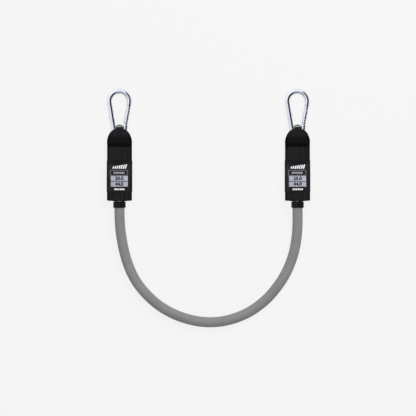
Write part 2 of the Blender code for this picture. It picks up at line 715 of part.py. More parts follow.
def make_hook_body(side, parent):
    """Bent round wire with its two ends flattened: one for the gate's rivet, one notched for its latch."""
    points = [(x, y, 0.0) for x, y in hook_line()]
    body = as_part(wire(f"{side}_hook_body", points, WIRE, TUBE_ROUNDNESS), "plated_steel")
    pivot = (PIVOT_X, PIVOT_Y)
    cam = (PIVOT_X + CAM_THROW * math.cos(CAM_DIRECTION), PIVOT_Y + CAM_THROW * math.sin(CAM_DIRECTION))
    base = (HINGE_END_X - GAP, HINGE_END_Y - WIRE / 2)
    hinge = plate(f"{side}_hinge_tongue", capsule(base, WIRE / 2 - GAP / 2, cam, CAM_RADIUS), HINGE_TONGUE)
    nose_face = GATE_LENGTH + NOSE_GAP
    half = NOSE_TONGUE_WIDTH / 2
    low, high = nose_face - NOSE_TONGUE_LENGTH, nose_face + NOSE_ROOT
    corners = [gate_frame(x, y) for x, y in ((-half, low), (half, low), (half, high), (-half, high))]
    nose = plate(f"{side}_nose_tongue", corners, NOSE_TONGUE)
    sweep = NOSE_TONGUE_WIDTH
    drop = sweep**2 / (2 * LATCH_Y)
    room = LATCH_RADIUS + NOTCH_GAP
    notch_outline = capsule(gate_frame(0.0, LATCH_Y), room, gate_frame(-sweep, LATCH_Y - drop), room)
    notch = plate(f"{side}_nose_notch", notch_outline, 2 * NOSE_TONGUE)
    rivet_hole = round_cutter(f"{side}_hinge_hole", RIVET_HOLE, WIRE, BORE_SIDES)
    for tool, spot, operation in (
        (hinge, (0, 0, 0), "UNION"),
        (nose, (0, 0, 0), "UNION"),
        (notch, (0, 0, 0), "DIFFERENCE"),
        (rivet_hole, (*pivot, 0), "DIFFERENCE"),
    ):
        place(as_cutter(tool), parent, spot)
        combine(body, tool, operation)
    place(body, parent)


def make_gate(side, parent):
    """A round rod, forked at both ends and bored for its spring; its own Y axis runs from pivot to tip."""
    radius = GATE_DIAMETER / 2
    wide = GATE_DIAMETER
    rod = bmesh.new()
    bmesh.ops.create_cone(
        rod, cap_ends=True, segments=ROD_SIDES, radius1=radius, radius2=radius, depth=GATE_LENGTH + radius
    )
    for vert in rod.verts:
        vert.co = Vector((vert.co.x, -vert.co.z, vert.co.y)) + Vector((0, (GATE_LENGTH - radius) / 2, 0))
    gate = as_part(object_from(rod, f"{side}_gate"), "plated_steel")
    place(gate, parent, (PIVOT_X, PIVOT_Y, 0), (0, 0, -GATE_LEAN))

    def cut(tool, operation="DIFFERENCE", spot=(0, 0, 0), turn=(0, 0, 0)):
        place(as_cutter(tool), gate, spot, turn)
        combine(gate, tool, operation)

    tip = GATE_LENGTH - TRIM
    outline = arc(0.0, 0.0, radius + TRIM, math.pi, 2 * math.pi, ROD_SIDES // 2)
    outline += [(radius + GAP, tip - GATE_EDGE), (radius - GATE_EDGE, tip)]
    outline += [(GATE_EDGE - radius, tip), (-radius - GAP, tip - GATE_EDGE)]
    cut(plate(f"{side}_gate_outline", outline, 2 * wide), "INTERSECT")
    fork = HINGE_TONGUE / 2 + GAP
    cut(box_cutter(f"{side}_fork_slot", (-wide, -wide, -fork), (wide, FORK_DEPTH, fork)))
    slot = NOSE_TONGUE / 2 + GAP
    cut(box_cutter(f"{side}_tip_slot", (-wide, TIP_SLOT_Y, -slot), (wide, GATE_LENGTH + wide, slot)))
    bore = round_cutter(f"{side}_gate_bore", BORE_RADIUS, BORE_DEPTH, BORE_SIDES)
    cut(bore, spot=(0, BORE_DEPTH / 2, 0), turn=(math.pi / 2, 0, 0))
    cut(round_cutter(f"{side}_fork_hole", RIVET_HOLE, 2 * wide, BORE_SIDES))
    cut(round_cutter(f"{side}_latch_hole", LATCH_HOLE, 2 * wide, BORE_SIDES), spot=(0, LATCH_Y, 0))
    return gate


def make_pin(name, radius, length, parent, spot):
    edge = PIN_EDGE
    half = length / 2
    profile = [(0.0, half), (radius - edge, half), (radius, half - edge)]
    profile += [(r, -z) for r, z in reversed(profile)]
    pin = as_part(turned(name, profile, PIN_SIDES), "plated_steel")
    place(pin, parent, spot)


def make_pusher(side, gate):
    """The headed pin that the spring presses onto the hinge tongue's cam."""
    head, radius, stem = PUSHER_HEAD, PUSHER_RADIUS, STEM_RADIUS
    edge = PIN_EDGE
    profile = [(0.0, head + STEM_LENGTH), (stem, head + STEM_LENGTH), (stem, head), (radius, head)]
    profile += [(radius, edge), (radius - edge, 0.0), (0.0, 0.0)]
    pusher = as_part(turned(f"{side}_spring_pusher", profile, PIN_SIDES), "plated_steel")
    place(pusher, gate, (0, PUSHER_START, 0), (-math.pi / 2, 0, 0))


def make_gate_spring(side, gate):
    """A coil around the pusher's stem, from its head to the bottom of the gate's bore."""
    start = PUSHER_START + PUSHER_HEAD + GAP + SPRING_WIRE / 2
    end = BORE_DEPTH - GAP - SPRING_WIRE / 2
    radius = STEM_RADIUS + GAP + SPRING_WIRE / 2
    count = SPRING_TURNS * SPRING_POINTS
    points = []
    for i in range(count + 1):
        turn = 2 * math.pi * i / SPRING_POINTS
        points.append((radius * math.cos(turn), start + (end - start) * i / count, radius * math.sin(turn)))
    spring = as_part(wire(f"{side}_gate_spring", points, SPRING_WIRE, 1), "spring_steel")
    place(spring, gate)


def make_end(side, end_x):
    """One end with everything on it: strap, loop, label, collar, plug, eyelet and snap hook."""
    swivel = make_empty(f"{side}_swivel_axis", None, (end_x, EYE_Y, TUBE_AXIS_Z))
    make_plug(side, swivel)
    make_collar(side, swivel)
    make_strap(side, swivel)
    make_hook_loop(side, swivel)
    make_stitching(side, swivel)
    make_label_sleeve(side, swivel)
    wire_axis = (0, -NARROW_RADIUS, eye_height() - TUBE_AXIS_Z)
    swing = make_empty(f"{side}_swing_axis", swivel, wire_axis, (-hook_tilt(), 0, 0))
    make_eyelet(side, swing)
    turn = make_empty(f"{side}_turn_axis", swing, (0, NARROW_RADIUS, 0))
    make_hook_body(side, turn)
    gate = make_gate(side, turn)
    make_pin(f"{side}_gate_rivet", RIVET_RADIUS, GATE_DIAMETER, turn, (PIVOT_X, PIVOT_Y, 0))
    make_pin(f"{side}_latch_pin", LATCH_RADIUS, GATE_DIAMETER, gate, (0, LATCH_Y, 0))
    make_pusher(side, gate)
    make_gate_spring(side, gate)


clear_scene()
PARTS = new_collection("resistance_tube")
CUTTERS = new_collection("cutters")
make_tube()
make_end("left", -END_SPACING / 2)
make_end("right", END_SPACING / 2)
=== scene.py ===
"""Looks of a resistance tube that lies flat on a pale table, seen from straight above.

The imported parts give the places. Metres, and each end is laid out around the middle of its eyelet, as the
parts are: x across the strap, y towards the hook's wide end, z up from the table. The snap hooks' pieces are
laid out in the hook's own plane around the same middle.
"""

import json
from math import acos, asin, atan, atan2, cos, dist, hypot, pi, radians, sin

import bmesh
import bpy
import numpy as np
from mathutils import Matrix, Vector
from mathutils.kdtree import KDTree


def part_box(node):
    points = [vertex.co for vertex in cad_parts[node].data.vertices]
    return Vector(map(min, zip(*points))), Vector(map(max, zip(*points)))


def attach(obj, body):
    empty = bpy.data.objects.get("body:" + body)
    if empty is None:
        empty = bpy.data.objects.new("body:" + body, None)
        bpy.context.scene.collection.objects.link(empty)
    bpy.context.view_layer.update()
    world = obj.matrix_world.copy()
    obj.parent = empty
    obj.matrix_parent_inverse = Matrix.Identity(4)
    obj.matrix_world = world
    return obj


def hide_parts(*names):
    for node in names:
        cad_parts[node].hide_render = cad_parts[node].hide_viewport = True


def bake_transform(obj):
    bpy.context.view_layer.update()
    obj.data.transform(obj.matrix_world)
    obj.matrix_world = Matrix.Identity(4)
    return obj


MM = 0.001

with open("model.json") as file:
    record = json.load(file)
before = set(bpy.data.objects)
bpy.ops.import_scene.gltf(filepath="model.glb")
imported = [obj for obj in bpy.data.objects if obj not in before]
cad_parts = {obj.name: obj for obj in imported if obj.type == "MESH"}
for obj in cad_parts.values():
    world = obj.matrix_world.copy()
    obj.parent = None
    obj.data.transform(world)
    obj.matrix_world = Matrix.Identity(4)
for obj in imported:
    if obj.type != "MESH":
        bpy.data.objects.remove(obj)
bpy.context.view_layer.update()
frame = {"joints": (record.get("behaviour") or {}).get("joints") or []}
SIDES = ("left", "right")
JOINTS = {joint["name"]: joint for joint in frame["joints"]}

# The two ends, as the parts have them
GAP = 0.3 * MM
EYE_Y = 23.7 * MM
END_X = {side: sum(corner.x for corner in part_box(f"{side}_strap")) / 2 for side in SIDES}

# Tube
TUBE_OD = 12.5 * MM
TUBE_ID = 6.0 * MM
TUBE_FLARE_BORE = 4.8 * MM  # radii of its end, stretched over the plug
TUBE_FLARE_RADIUS = 7.287 * MM
TUBE_AXIS_Z = 9.787146 * MM
TUBE_END_Y = -66.0 * MM
PLUG_LENGTH = 16.0 * MM
FLARE_LENGTH = 3.0 * MM
TUBE_STEP = 2.0 * MM
TUBE_SIDES = 64
ROUTE_FINENESS = 24

# The tube's route from the left collar to the right one, in metres
ROUTE = [
    (-0.1087, -0.0961, 0.0087),
    (-0.1068, -0.1108, 0.0075),
    (-0.1040, -0.1256, 0.0067),
    (-0.0998, -0.1404, 0.00635),
    (-0.0937, -0.1551, 0.00625),
    (-0.0846, -0.1699, 0.00625),
    (-0.0664, -0.1889, 0.00625),
    (-0.0467, -0.2018, 0.00625),
    (-0.0270, -0.2095, 0.00625),
    (-0.0073, -0.2134, 0.00625),
    (0.0123, -0.2133, 0.00625),
    (0.0320, -0.2090, 0.00625),
    (0.0517, -0.2002, 0.00625),
    (0.0714, -0.1853, 0.00625),
    (0.0850, -0.1696, 0.00625),
    (0.0943, -0.1551, 0.00625),
    (0.1010, -0.1404, 0.00635),
    (0.1056, -0.1256, 0.0067),
    (0.1082, -0.1108, 0.0075),
    (0.1094, -0.0961, 0.0087),
]

# Webbing strap
WEB_WIDTH = 30.5 * MM
WEB_THICKNESS = 1.4 * MM
WARP_PITCH = 1.27 * MM
RIB_PITCH = 1.5 * MM
RIB_HEIGHT = 0.08 * MM
RIB_ROWS = 5
WEB_EDGE = 0.6 * MM
WEB_COLUMNS = 18
EDGE_STEPS = 4
STRAP_TOP_Y = -19.9 * MM
STRAP_BOTTOM_Y = -88.2 * MM
STRAP_BACK_Z = 1.5 * MM
STRAP_FRONT_Z = 6.6 * MM
STRAP_FOLD_RADIUS = 2.0 * MM
POCKET_FRONT_Z = 18.074 * MM
POCKET_START_Y = -40.5 * MM
POCKET_FULL_Y = -65.0 * MM
CROWN = 6.0 * MM  # how far the front layer falls from its middle to its edges, over the tube's end
HOLE_RADIUS = 6.6 * MM
NOTCH_RADIUS = 3.0 * MM  # the hole is pulled out of round at the front, and shows as a notch in the fold
NOTCH_TOP_Z = 18.1 * MM
CORNER_PULL = 0.5 * MM  # how far the fold's two corners are drawn in
FOLD_BULGE = 0.65 * MM  # how far the tube pushes the fold's middle down
FOLD_SHARE = 9.0 * MM
QUILT_DEPTH = 0.12 * MM
QUILT_WIDTH = 0.6 * MM

# Label sleeve
LABEL_TOP_Y = -38.5 * MM
LABEL_BOTTOM_Y = -77.2 * MM
LABEL_THICKNESS = 0.22 * MM
LABEL_GAP = 0.2 * MM
LABEL_CORNER = 0.65 * MM
LABEL_EDGE = 0.08 * MM
LABEL_ROWS = 100
LABEL_COLUMNS = 44
LABEL_HEM = 1.1 * MM
# Rows of the painted shade spots at the label's needle holes
PAINTED_HOLE_ROWS = (-39.3 * MM, -42.0 * MM)
LABEL_WAVE = 0.09 * MM

# Stitches
THREAD = 0.34 * MM
STITCHES_IN_ROW = 8
STITCH_PITCH = 3.3 * MM
STITCH_SHARE = 0.66
STITCH_RINGS = 9
STITCH_SIDES = 8
SEAM_ROWS = [-22.4 * MM - i * 3.4 * MM for i in range(5)]

# Collar
COLLAR_TOP_Y = -89.3 * MM
COLLAR_BOTTOM_Y = -96.8 * MM
COLLAR_RADIUS = 7.7 * MM
COLLAR_BORE = 6.55 * MM
COLLAR_FLUTES = 26
FLUTE_DEPTH = 0.14 * MM

# Snap hook, in its own plane
WIRE = 5.7 * MM
NARROW_RADIUS = 6.9 * MM
WIDE_RADIUS = 12.2 * MM
WIDE_X = -0.3 * MM
WIDE_Y = 34.5 * MM
HINGE_END = (7.35 * MM, 5.2 * MM)
PIVOT = (7.9 * MM, 8.6 * MM)
GATE_LEAN = radians(10.0)
GATE_DIAMETER = 5.2 * MM
GATE_LENGTH = 20.0 * MM
GATE_EDGE = 0.5 * MM
NOSE_GAP = 0.5 * MM
HINGE_TONGUE = 2.0 * MM
CAM_RADIUS = 2.4 * MM
CAM_THROW = 0.8 * MM
CAM_DIRECTION = radians(170.0)
FORK_DEPTH = 3.3 * MM
NOSE_TONGUE = 1.8 * MM
NOSE_TONGUE_WIDTH = 4.6 * MM
NOSE_TONGUE_LENGTH = 5.9 * MM
NOSE_ROOT = 3.0 * MM
TIP_SLOT_Y = 14.0 * MM
LATCH_Y = 17.2 * MM
LATCH_RADIUS = 0.8 * MM
NOTCH_GAP = 0.35 * MM
RIVET_RADIUS = 0.9 * MM
BORE_DEPTH = 12.0 * MM
PUSHER_START = 2.7 * MM
PUSHER_RADIUS = 1.15 * MM
PUSHER_HEAD = 1.7 * MM
STEM_RADIUS = 0.4 * MM
STEM_LENGTH = 3.6 * MM
SPRING_WIRE = 0.4 * MM
SPRING_TURNS = 7
WIRE_SIDES = 48
WIRE_STEP = 0.6 * MM
EDGE_ROUNDING = 0.25 * MM
EDGE_BREAK = 0.12 * MM

# Eyelet
EYELET_WALL = 0.3 * MM
EYELET_GAP = 0.1 * MM
EYELET_LIP = 1.33 * MM
EYELET_RIM_SHADE = 4.05 * MM  # the radius beyond which its rim is painted darker, a painted shade

# The webbing loop's shaped sections: angle around the wire, distance outside the eyelet, width, thinness,
# squareness. Width and thinness go from the round waist in the eyelet, 0, to the flat webbing, 1.
WAIST = 2.6 * MM
LOOP_SECTIONS = [
    (radians(0.0), 1.1 * MM, 0.0, 0.0, 2.3),
    (radians(15.7), 1.6 * MM, 0.06, 0.13, 2.6),
    (radians(30.2), 2.2 * MM, 0.2, 0.45, 2.5),
    (radians(42.7), 2.0 * MM, 0.47, 0.71, 2.6),
    (radians(61.6), 1.0 * MM, 0.68, 0.87, 3.5),
    (radians(103.0), 0.4 * MM, 0.86, 0.97, 5.0),
]
LOOP_ROOM = WIRE / 2 + 0.9 * MM
LOOP_FRONT_Z = 4.9 * MM
LOOP_BACK_Z = 3.2 * MM
LOOP_END_Y = -37.5 * MM
LEG_DROP = 0.55
LOOP_STEP = 0.35 * MM
LOOP_POINTS = 160
PLEATS = 2.5
PLEAT_DEPTH = 0.7 * MM

# Printed marks on the label, around its middle line: left, right, low, high
MARK_BARS = (-8.7 * MM, 10.4 * MM, -48.7 * MM, -43.3 * MM)
MARK_BOX = (-11.6 * MM, 10.5 * MM, -57.3 * MM, -50.2 * MM)
MARK_PANEL_1 = (-10.6 * MM, 10.5 * MM, -63.9 * MM, -57.7 * MM)
MARK_PANEL_2 = (-10.6 * MM, 10.5 * MM, -70.8 * MM, -64.7 * MM)
MARK_DASHES = (-6.3 * MM, 6.8 * MM, -75.0 * MM, -73.0 * MM)
BARS, BLOCKS, DASHES = 7, 9, 6
BAR_SLANT = 1.6 * MM
BOX_LINE = 0.9 * MM
INK_THICKNESS = 0.05 * MM
INK_CELL = 0.8 * MM
NUMBER_HEIGHT = 4.1 * MM
NUMBER_WEIGHT = 0.27 * MM
NUMBERS = ("20.0", "44.0")

# Camera, straight above the middle of the photographed frame
VIEW_X = -0.6 * MM
VIEW_Y = -73.3 * MM
VIEW_WIDTH = 511.7 * MM
VIEW_PLANE = 8.0 * MM
LENS = 400.0
SENSOR = 36.0

# Studio
BACKDROP = (0.913, 0.913, 0.913, 1.0)  # the photograph's pale grey
FLOOR_SIZE = 6.0
FLOOR_IN_METAL = 0.25  # share of the floor's own colour that the bright metal sees
OWN_LIGHT = 0.93  # share of the floor's colour that the camera sees as it is; the rest keeps the shadow
SKY = 0.42  # the soft light that comes from all round
WHITE = (1.0, 1.0, 1.0, 1.0)
STUDIO_TINT = (0.95, 0.97, 1.06)
DARK_PANEL = (0.012, 0.016, 0.028, 1.0)

SMOOTH_ANGLE = radians(35.0)
MERGE = 0.001 * MM
ALONG_Y = Matrix.Rotation(-pi / 2, 4, "X")  # turns a piece made along z to lie along y


def mesh_from(vertices, faces, merge=0.0):
    """A mesh with its faces pointing out, and with its vertices merged within a distance."""
    mesh = bpy.data.meshes.new("mesh")
    mesh.from_pydata([tuple(v) for v in vertices], [], faces)
    bm = bmesh.new()
    bm.from_mesh(mesh)
    if merge:
        bmesh.ops.remove_doubles(bm, verts=bm.verts, dist=merge)
    bmesh.ops.recalc_face_normals(bm, faces=bm.faces)
    bm.to_mesh(mesh)
    bm.free()
    return mesh


def new_object(name, data):
    obj = bpy.data.objects.new(name, data)
    data.name = name
    bpy.context.scene.collection.objects.link(obj)
    return obj


def finish_surface(mesh, material, sharp=SMOOTH_ANGLE):
    mesh.materials.clear()
    mesh.materials.append(material)
    mesh.shade_smooth()
    mesh.set_sharp_from_angle(angle=sharp)


def lay_flat(mesh, rings, x, y, z):
    """Places on the flat cloth or rubber, for the material: across, along, and round the tube, or on the
    webbing a distance that sets its painted shade. A mesh that was cut takes the place of the nearest of the
    rings' points."""
    values = np.stack(np.broadcast_arrays(x, y, z), axis=-1).reshape(-1, 3)
    if len(mesh.vertices) != len(values):
        tree = KDTree(len(values))
        for i, place in enumerate(rings.reshape(-1, 3)):
            tree.insert(place, i)
        tree.balance()
        values = values[[tree.find(vertex.co)[1] for vertex in mesh.vertices]]
    made = mesh.attributes.new("laid_flat", "FLOAT_VECTOR", "POINT")
    made.data.foreach_set("vector", values.astype(np.float32).ravel())


def end_matrix(side):
    return Matrix.Translation((END_X[side], EYE_Y, 0.0))


def hook_matrix(side):
    """The hook's own plane: its origin in the eyelet's middle, leaning down towards the wide end."""
    turn = JOINTS[f"{side}_hook_turn"]
    return Matrix.Translation(turn["pos_m"]) @ Matrix.Rotation(-asin(turn["axis"][1]), 4, "X")


def shifted(matrix_of, x, y):
    """The same frame with its origin moved in its own plane."""
    return lambda side: matrix_of(side) @ Matrix.Translation((x, y, 0.0))


def gate_matrix(side):
    """The gate's frame: its origin on the rivet, y towards its tip."""
    return shifted(hook_matrix, *PIVOT)(side) @ Matrix.Rotation(-GATE_LEAN, 4, "Z")


def at_both_ends(name, mesh, look, slot, *nodes, at=end_matrix, body="strap_end", sharp=SMOOTH_ANGLE):
    """One copy of a piece at each end, standing for that end's nodes. It rides on that end's body, or else
    the given function is called on it."""
    finish_surface(mesh, look, sharp)
    for side in SIDES:
        obj = new_object(f"{side}_{name}", mesh.copy())
        obj.matrix_world = at(side)
        bpy.context.view_layer.update()
        if callable(body):
            body(obj, side)
        else:
            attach(obj, "root" if (side, body) == ("left", "end") else f"{side}_{body}")
        for node in nodes:
            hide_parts(f"{side}_{node}")


def ring_faces(rows, count):
    """Quads between rings of the same number of points, numbered row by row."""
    return [
        (low + j, low + (j + 1) % count, low + count + (j + 1) % count, low + count + j)
        for low in range(0, (rows - 1) * count, count)
        for j in range(count)
    ]


def capped_faces(rows, count):
    last = (rows - 1) * count
    return ring_faces(rows, count) + [tuple(range(count)), tuple(range(last, last + count))]


def capped_loft(rings):
    """A closed mesh through rings of points, capped at both ends."""
    return mesh_from(rings.reshape(-1, 3), capped_faces(*rings.shape[:2]))


def closed_sleeve(rings, merge=0.0):
    """A closed mesh whose last ring joins the first one again."""
    rows, count = rings.shape[:2]
    faces = [tuple(index % (rows * count) for index in face) for face in ring_faces(rows + 1, count)]
    return mesh_from(rings.reshape(-1, 3), faces, merge)


def circle(steps, start=0.0):
    """Even angles all round."""
    return 2 * pi * (np.arange(steps) + start) / steps


def turned(profile, steps, flutes=None):
    """A closed profile of (radius, height) pairs turned round the Z axis; flutes change a ring's radii."""
    profile = np.asarray(profile, float)
    rings = []
    for turn in circle(steps):
        radii = profile[:, 0] + (flutes(turn, profile) if flutes else 0.0)
        rings.append(np.stack([radii * cos(turn), radii * sin(turn), profile[:, 1]], axis=1))
    return closed_sleeve(np.array(rings), MERGE)


def arc(x, y, radius, start, end, steps):
    """Points along an arc, both ends included; angles in radians."""
    turns = [start + (end - start) * i / steps for i in range(steps + 1)]
    return [(x + radius * cos(turn), y + radius * sin(turn)) for turn in turns]


def smoothed(rows, finer):
    """Rows of values on a smooth curve through the given ones, spaced by their places."""
    gaps = np.linalg.norm(np.diff(rows[:, :3], axis=0), axis=1) ** 0.5
    slopes = np.gradient(rows, np.concatenate([[0.0], np.cumsum(gaps)]), axis=0)
    t = np.linspace(0.0, 1.0, finer, endpoint=False)[:, None]
    made = [
        (2 * t**3 - 3 * t**2 + 1) * rows[i]
        + (t**3 - 2 * t**2 + t) * slopes[i] * gap
        + (3 * t**2 - 2 * t**3) * rows[i + 1]
        + (t**3 - t**2) * slopes[i + 1] * gap
        for i, gap in enumerate(gaps)
    ]
    return np.concatenate(made + [rows[-1:]])


def evenly(line, step):
    """Rows of values at even steps along a line, whose first three values are places, with the distances."""
    walked = np.concatenate([[0.0], np.cumsum(np.linalg.norm(np.diff(line[:, :3], axis=0), axis=1))])
    stations = np.linspace(0.0, walked[-1], round(walked[-1] / step) + 1)
    rows = np.stack([np.interp(stations, walked, line[:, k]) for k in range(line.shape[1])], axis=1)
    return rows, stations


def unit(vectors):
    return vectors / np.linalg.norm(vectors, axis=-1, keepdims=True)


def swept(points, radii, sides, across=None):
    """Rings of points around a line, with each ring's own radius. The line never runs straight up, unless
    the direction of each ring's first point is given."""
    ways = unit(np.gradient(points, axis=0))
    if across is None:
        across = unit(np.cross((0.0, 0.0, 1.0), ways))
    turns = circle(sides)[None, :, None]
    ring = np.cos(turns) * across[:, None] + np.sin(turns) * np.cross(ways, across)[:, None]
    return points[:, None] + np.asarray(radii)[:, None, None] * ring


def smooth_step(share):
    share = np.clip(share, 0.0, 1.0)
    return share * share * (3 - 2 * share)


def evaluated_mesh(obj, *others):
    """The object's final mesh; the object and the others are removed."""
    shown = obj.evaluated_get(bpy.context.evaluated_depsgraph_get())
    mesh = bpy.data.meshes.new_from_object(shown)
    for used in (obj, *others):
        bpy.data.objects.remove(used, do_unlink=True)
    return mesh


def boolean(mesh, cutters, operation="DIFFERENCE"):
    """The mesh with each of the other meshes cut from it or joined to it."""
    target = new_object("boolean_target", mesh)
    others = [new_object(f"boolean_tool_{i}", cutter) for i, cutter in enumerate(cutters)]
    for other in others:
        modifier = target.modifiers.new(other.name, "BOOLEAN")
        modifier.operation = operation
        modifier.object = other
        modifier.solver = "EXACT"
    return evaluated_mesh(target, *others)


def with_round_edges(mesh):
    """The mesh with its sharp edges rounded a little."""
    obj = new_object("rounding", mesh)
    bevel = obj.modifiers.new("rounding", "BEVEL")
    bevel.width = EDGE_BREAK
    bevel.segments = 2
    bevel.limit_method = "ANGLE"
    bevel.angle_limit = SMOOTH_ANGLE
    return evaluated_mesh(obj)


def rectangle(left, right, low, high, slant=0.0):
    return [(left, low), (right, low), (right + slant, high), (left + slant, high)]


def plate(outline, thickness):
    """A flat piece in the XY plane, centred on it."""
    rows = [[(x, y, z) for x, y in outline] for z in (-thickness / 2, thickness / 2)]
    return capped_loft(np.array(rows))


def rod(radius, start, end, axis, sides=32, place=(0.0, 0.0, 0.0)):
    """A plain cylinder along one axis, from start to end of it, around a place."""
    turns = circle(sides)
    ring = np.stack([radius * np.cos(turns), radius * np.sin(turns)], axis=1)
    rows = [np.insert(ring, "xyz".index(axis), level, axis=1) for level in (start, end)]
    return capped_loft(np.array(rows) + place)


class Nodes:
    """Short ways to add nodes to a tree."""

    def __init__(self, tree):
        self.tree = tree

    def put(self, socket, value):
        if isinstance(value, bpy.types.NodeSocket):
            self.tree.links.new(value, socket)
        else:
            socket.default_value = value

    def node(self, kind, inputs=(), **settings):
        """The outputs of a new node. Its inputs, linked or set, are given in order or by name."""
        made = self.tree.nodes.new(f"ShaderNode{kind}")
        for name, value in settings.items():
            setattr(made, name, value)
        for key, value in inputs.items() if isinstance(inputs, dict) else enumerate(inputs):
            self.put(made.inputs[key], value)
        return made.outputs

    def math(self, operation, *values):
        return self.node("Math", values, operation=operation)[0]

    def times(self, first, second):
        return self.math("MULTIPLY", first, second)

    def total(self, *shares):
        """The sum of (value, weight) pairs."""
        weighted = [self.times(value, weight) for value, weight in shares]
        made = weighted[0]
        for value in weighted[1:]:
            made = self.math("ADD", made, value)
        return made

    def between(self, value, low, high, start=0.3, end=0.7, **settings):
        """The value carried from its own range, start to end, to another one, low to high."""
        return self.node("MapRange", (value, start, end, low, high), **settings)[0]

    def shaded(self, colour, amount):
        """The colour times an amount."""
        return self.node("VectorMath", {0: colour, "Scale": amount}, operation="SCALE")[0]


class Look(Nodes):
    """A node material around one Principled shader, in the object's own coordinates or the flat cloth's."""

    def __init__(self, name, laid_flat=False, **values):
        self.material = bpy.data.materials.new(name)
        self.material.use_nodes = True
        super().__init__(self.material.node_tree)
        self.shader = self.tree.nodes["Principled BSDF"]
        self.laid_flat = laid_flat
        self.set(**values)

    def set(self, **values):
        for socket, value in values.items():
            self.put(self.shader.inputs[socket.replace("_", " ")], value)

    def coordinates(self, scale):
        """The coordinates times a scale a metre, or one for each axis."""
        if self.laid_flat:
            place = self.node("Attribute", attribute_name="laid_flat")["Vector"]
        else:
            place = self.node("TexCoord")["Object"]
        scale = scale if isinstance(scale, tuple) else (scale, scale, scale)
        return self.node("VectorMath", (place, scale), operation="MULTIPLY")[0]

    def places(self, scale=1.0):
        return self.node("SeparateXYZ", [self.coordinates(scale)])

    def noise(self, scale, detail=2.0, roughness=0.5):
        inputs = {"Vector": self.coordinates(scale), "Scale": 1.0, "Detail": detail, "Roughness": roughness}
        return self.node("TexNoise", inputs)["Fac"]

    def wave(self, value):
        """Half waves of height 1, one to each whole number."""
        return self.math("ABSOLUTE", self.math("SINE", self.times(value, pi)))

    def distance(self, x, y):
        return self.math("SQRT", self.math("ADD", self.times(x, x), self.times(y, y)))

    def colours(self, value, dark, light, start=0.3, end=0.7):
        """A colour from dark to light, as the value goes from start to end."""
        made = self.node("ValToRGB", [value])[0]
        stops = made.node.color_ramp.elements
        for stop, position, colour in zip(stops, (start, end), (dark, light)):
            stop.position = position
            stop.color = (*colour, 1.0)
        return made

    def finish(self, colour, roughness, *layers):
        """The material, with bump layers of (height, distance in mm, strength), each on the one before."""
        self.set(Base_Color=colour, Roughness=roughness)
        inputs = {}
        for height, distance, strength in layers:
            inputs.update(Height=height, Distance=distance * MM, Strength=strength)
            inputs["Normal"] = self.node("Bump", inputs)[0]
        self.set(Normal=inputs["Normal"])
        return self.material


def webbing_look():
    """Black webbing: columns of short warp floats, each column half a float further than its neighbour."""
    look = Look("black_webbing", laid_flat=True, Specular_IOR_Level=0.1)
    across, along, _ = look.places((1 / WARP_PITCH, 1 / RIB_PITCH, 1.0))
    along = look.math("ADD", along, look.times(look.math("FLOOR", across), 0.5))
    ridge = look.math("POWER", look.wave(across), 0.6)
    weave = look.times(ridge, look.math("POWER", look.wave(along), 0.5))
    yarn = look.noise((9000.0, 900.0, 900.0))
    # Lengthwise streaks: the webbing's own uneven tone, which on the gathered loop also stands in for painted
    # shade of its pleats
    streaks_and_pleat_shade = look.noise((420.0, 45.0, 1.0), detail=3.0)
    shade = look.total((weave, 0.35), (yarn, 0.2), (streaks_and_pleat_shade, 0.6))
    x, _, seam_shade_depth = look.places()
    # Painted shade: the webbing darker and less shiny close to the strap's cut ends at the seam, and on the
    # loop just above them
    painted_seam_shade = look.between(seam_shade_depth, 0.3, 1.0, 1.2 * MM, 3.0 * MM)
    # Painted shade: the webbing darker towards its two edges
    edge = WEB_WIDTH / 2 - 1.0 * MM
    painted_edge_shade = look.between(look.math("ABSOLUTE", x), 1.0, 0.15, edge - 1.8 * MM, edge)
    painted_shading = look.times(painted_seam_shade, painted_edge_shade)
    look.set(Specular_IOR_Level=look.times(painted_shading, 0.1))
    black = look.colours(shade, (0.0045, 0.0045, 0.005), (0.021, 0.021, 0.022), 0.38, 0.8)
    roughness = look.between(yarn, 0.62, 0.85)
    return look.finish(look.shaded(black, painted_shading), roughness, (weave, 0.09, 0.8), (yarn, 0.03, 0.6))


def label_look():
    """Black satin label cloth, with a fine slanting weave, soft creases and two rows of painted needle-hole
    shade.
    """
    look = Look("black_satin_label", Specular_IOR_Level=0.1)
    x, y, _ = look.places()
    twill = look.wave(look.total((x, 2600.0), (y, 1500.0)))
    fibre = look.noise((700.0, 7000.0, 7000.0))
    creases = look.noise((60.0, 130.0, 60.0))
    shade = look.total((twill, 0.35), (fibre, 0.35), (creases, 0.3))
    from_middle = look.math("ABSOLUTE", x)
    edge = WEB_WIDTH / 2 - 0.6 * MM
    # Painted sheen: the label lighter from its middle out towards its edges
    painted_sheen = look.between(from_middle, 0.85, 1.5, 6.0 * MM, 11.5 * MM)
    # Painted shade: the label darker at its very edges, where it turns round the strap
    painted_shading = look.times(painted_sheen, look.between(from_middle, 1.0, 0.2, edge - 1.4 * MM, edge))
    # Painted shade: dark spots at the needle holes of the hem, in two rows
    for row, shift in zip(PAINTED_HOLE_ROWS, (0.0, 0.5)):
        cell = look.math("FRACT", look.math("ADD", look.math("DIVIDE", x, STITCH_PITCH), shift))
        off_x = look.times(look.math("SUBTRACT", cell, 0.5), 0.6 * STITCH_PITCH)
        off_y = look.math("SUBTRACT", y, row)
        painted_hole_shade = look.between(look.distance(off_x, off_y), 0.1, 1.0, 0.4 * MM, 0.95 * MM)
        painted_shading = look.times(painted_shading, painted_hole_shade)
    black = look.colours(shade, (0.0055, 0.0052, 0.0068), (0.0165, 0.016, 0.019), 0.2, 0.85)
    layers = (creases, 0.5, 0.25), (twill, 0.03, 0.6), (fibre, 0.02, 0.5)
    return look.finish(look.shaded(black, painted_shading), look.between(fibre, 0.42, 0.6), *layers)


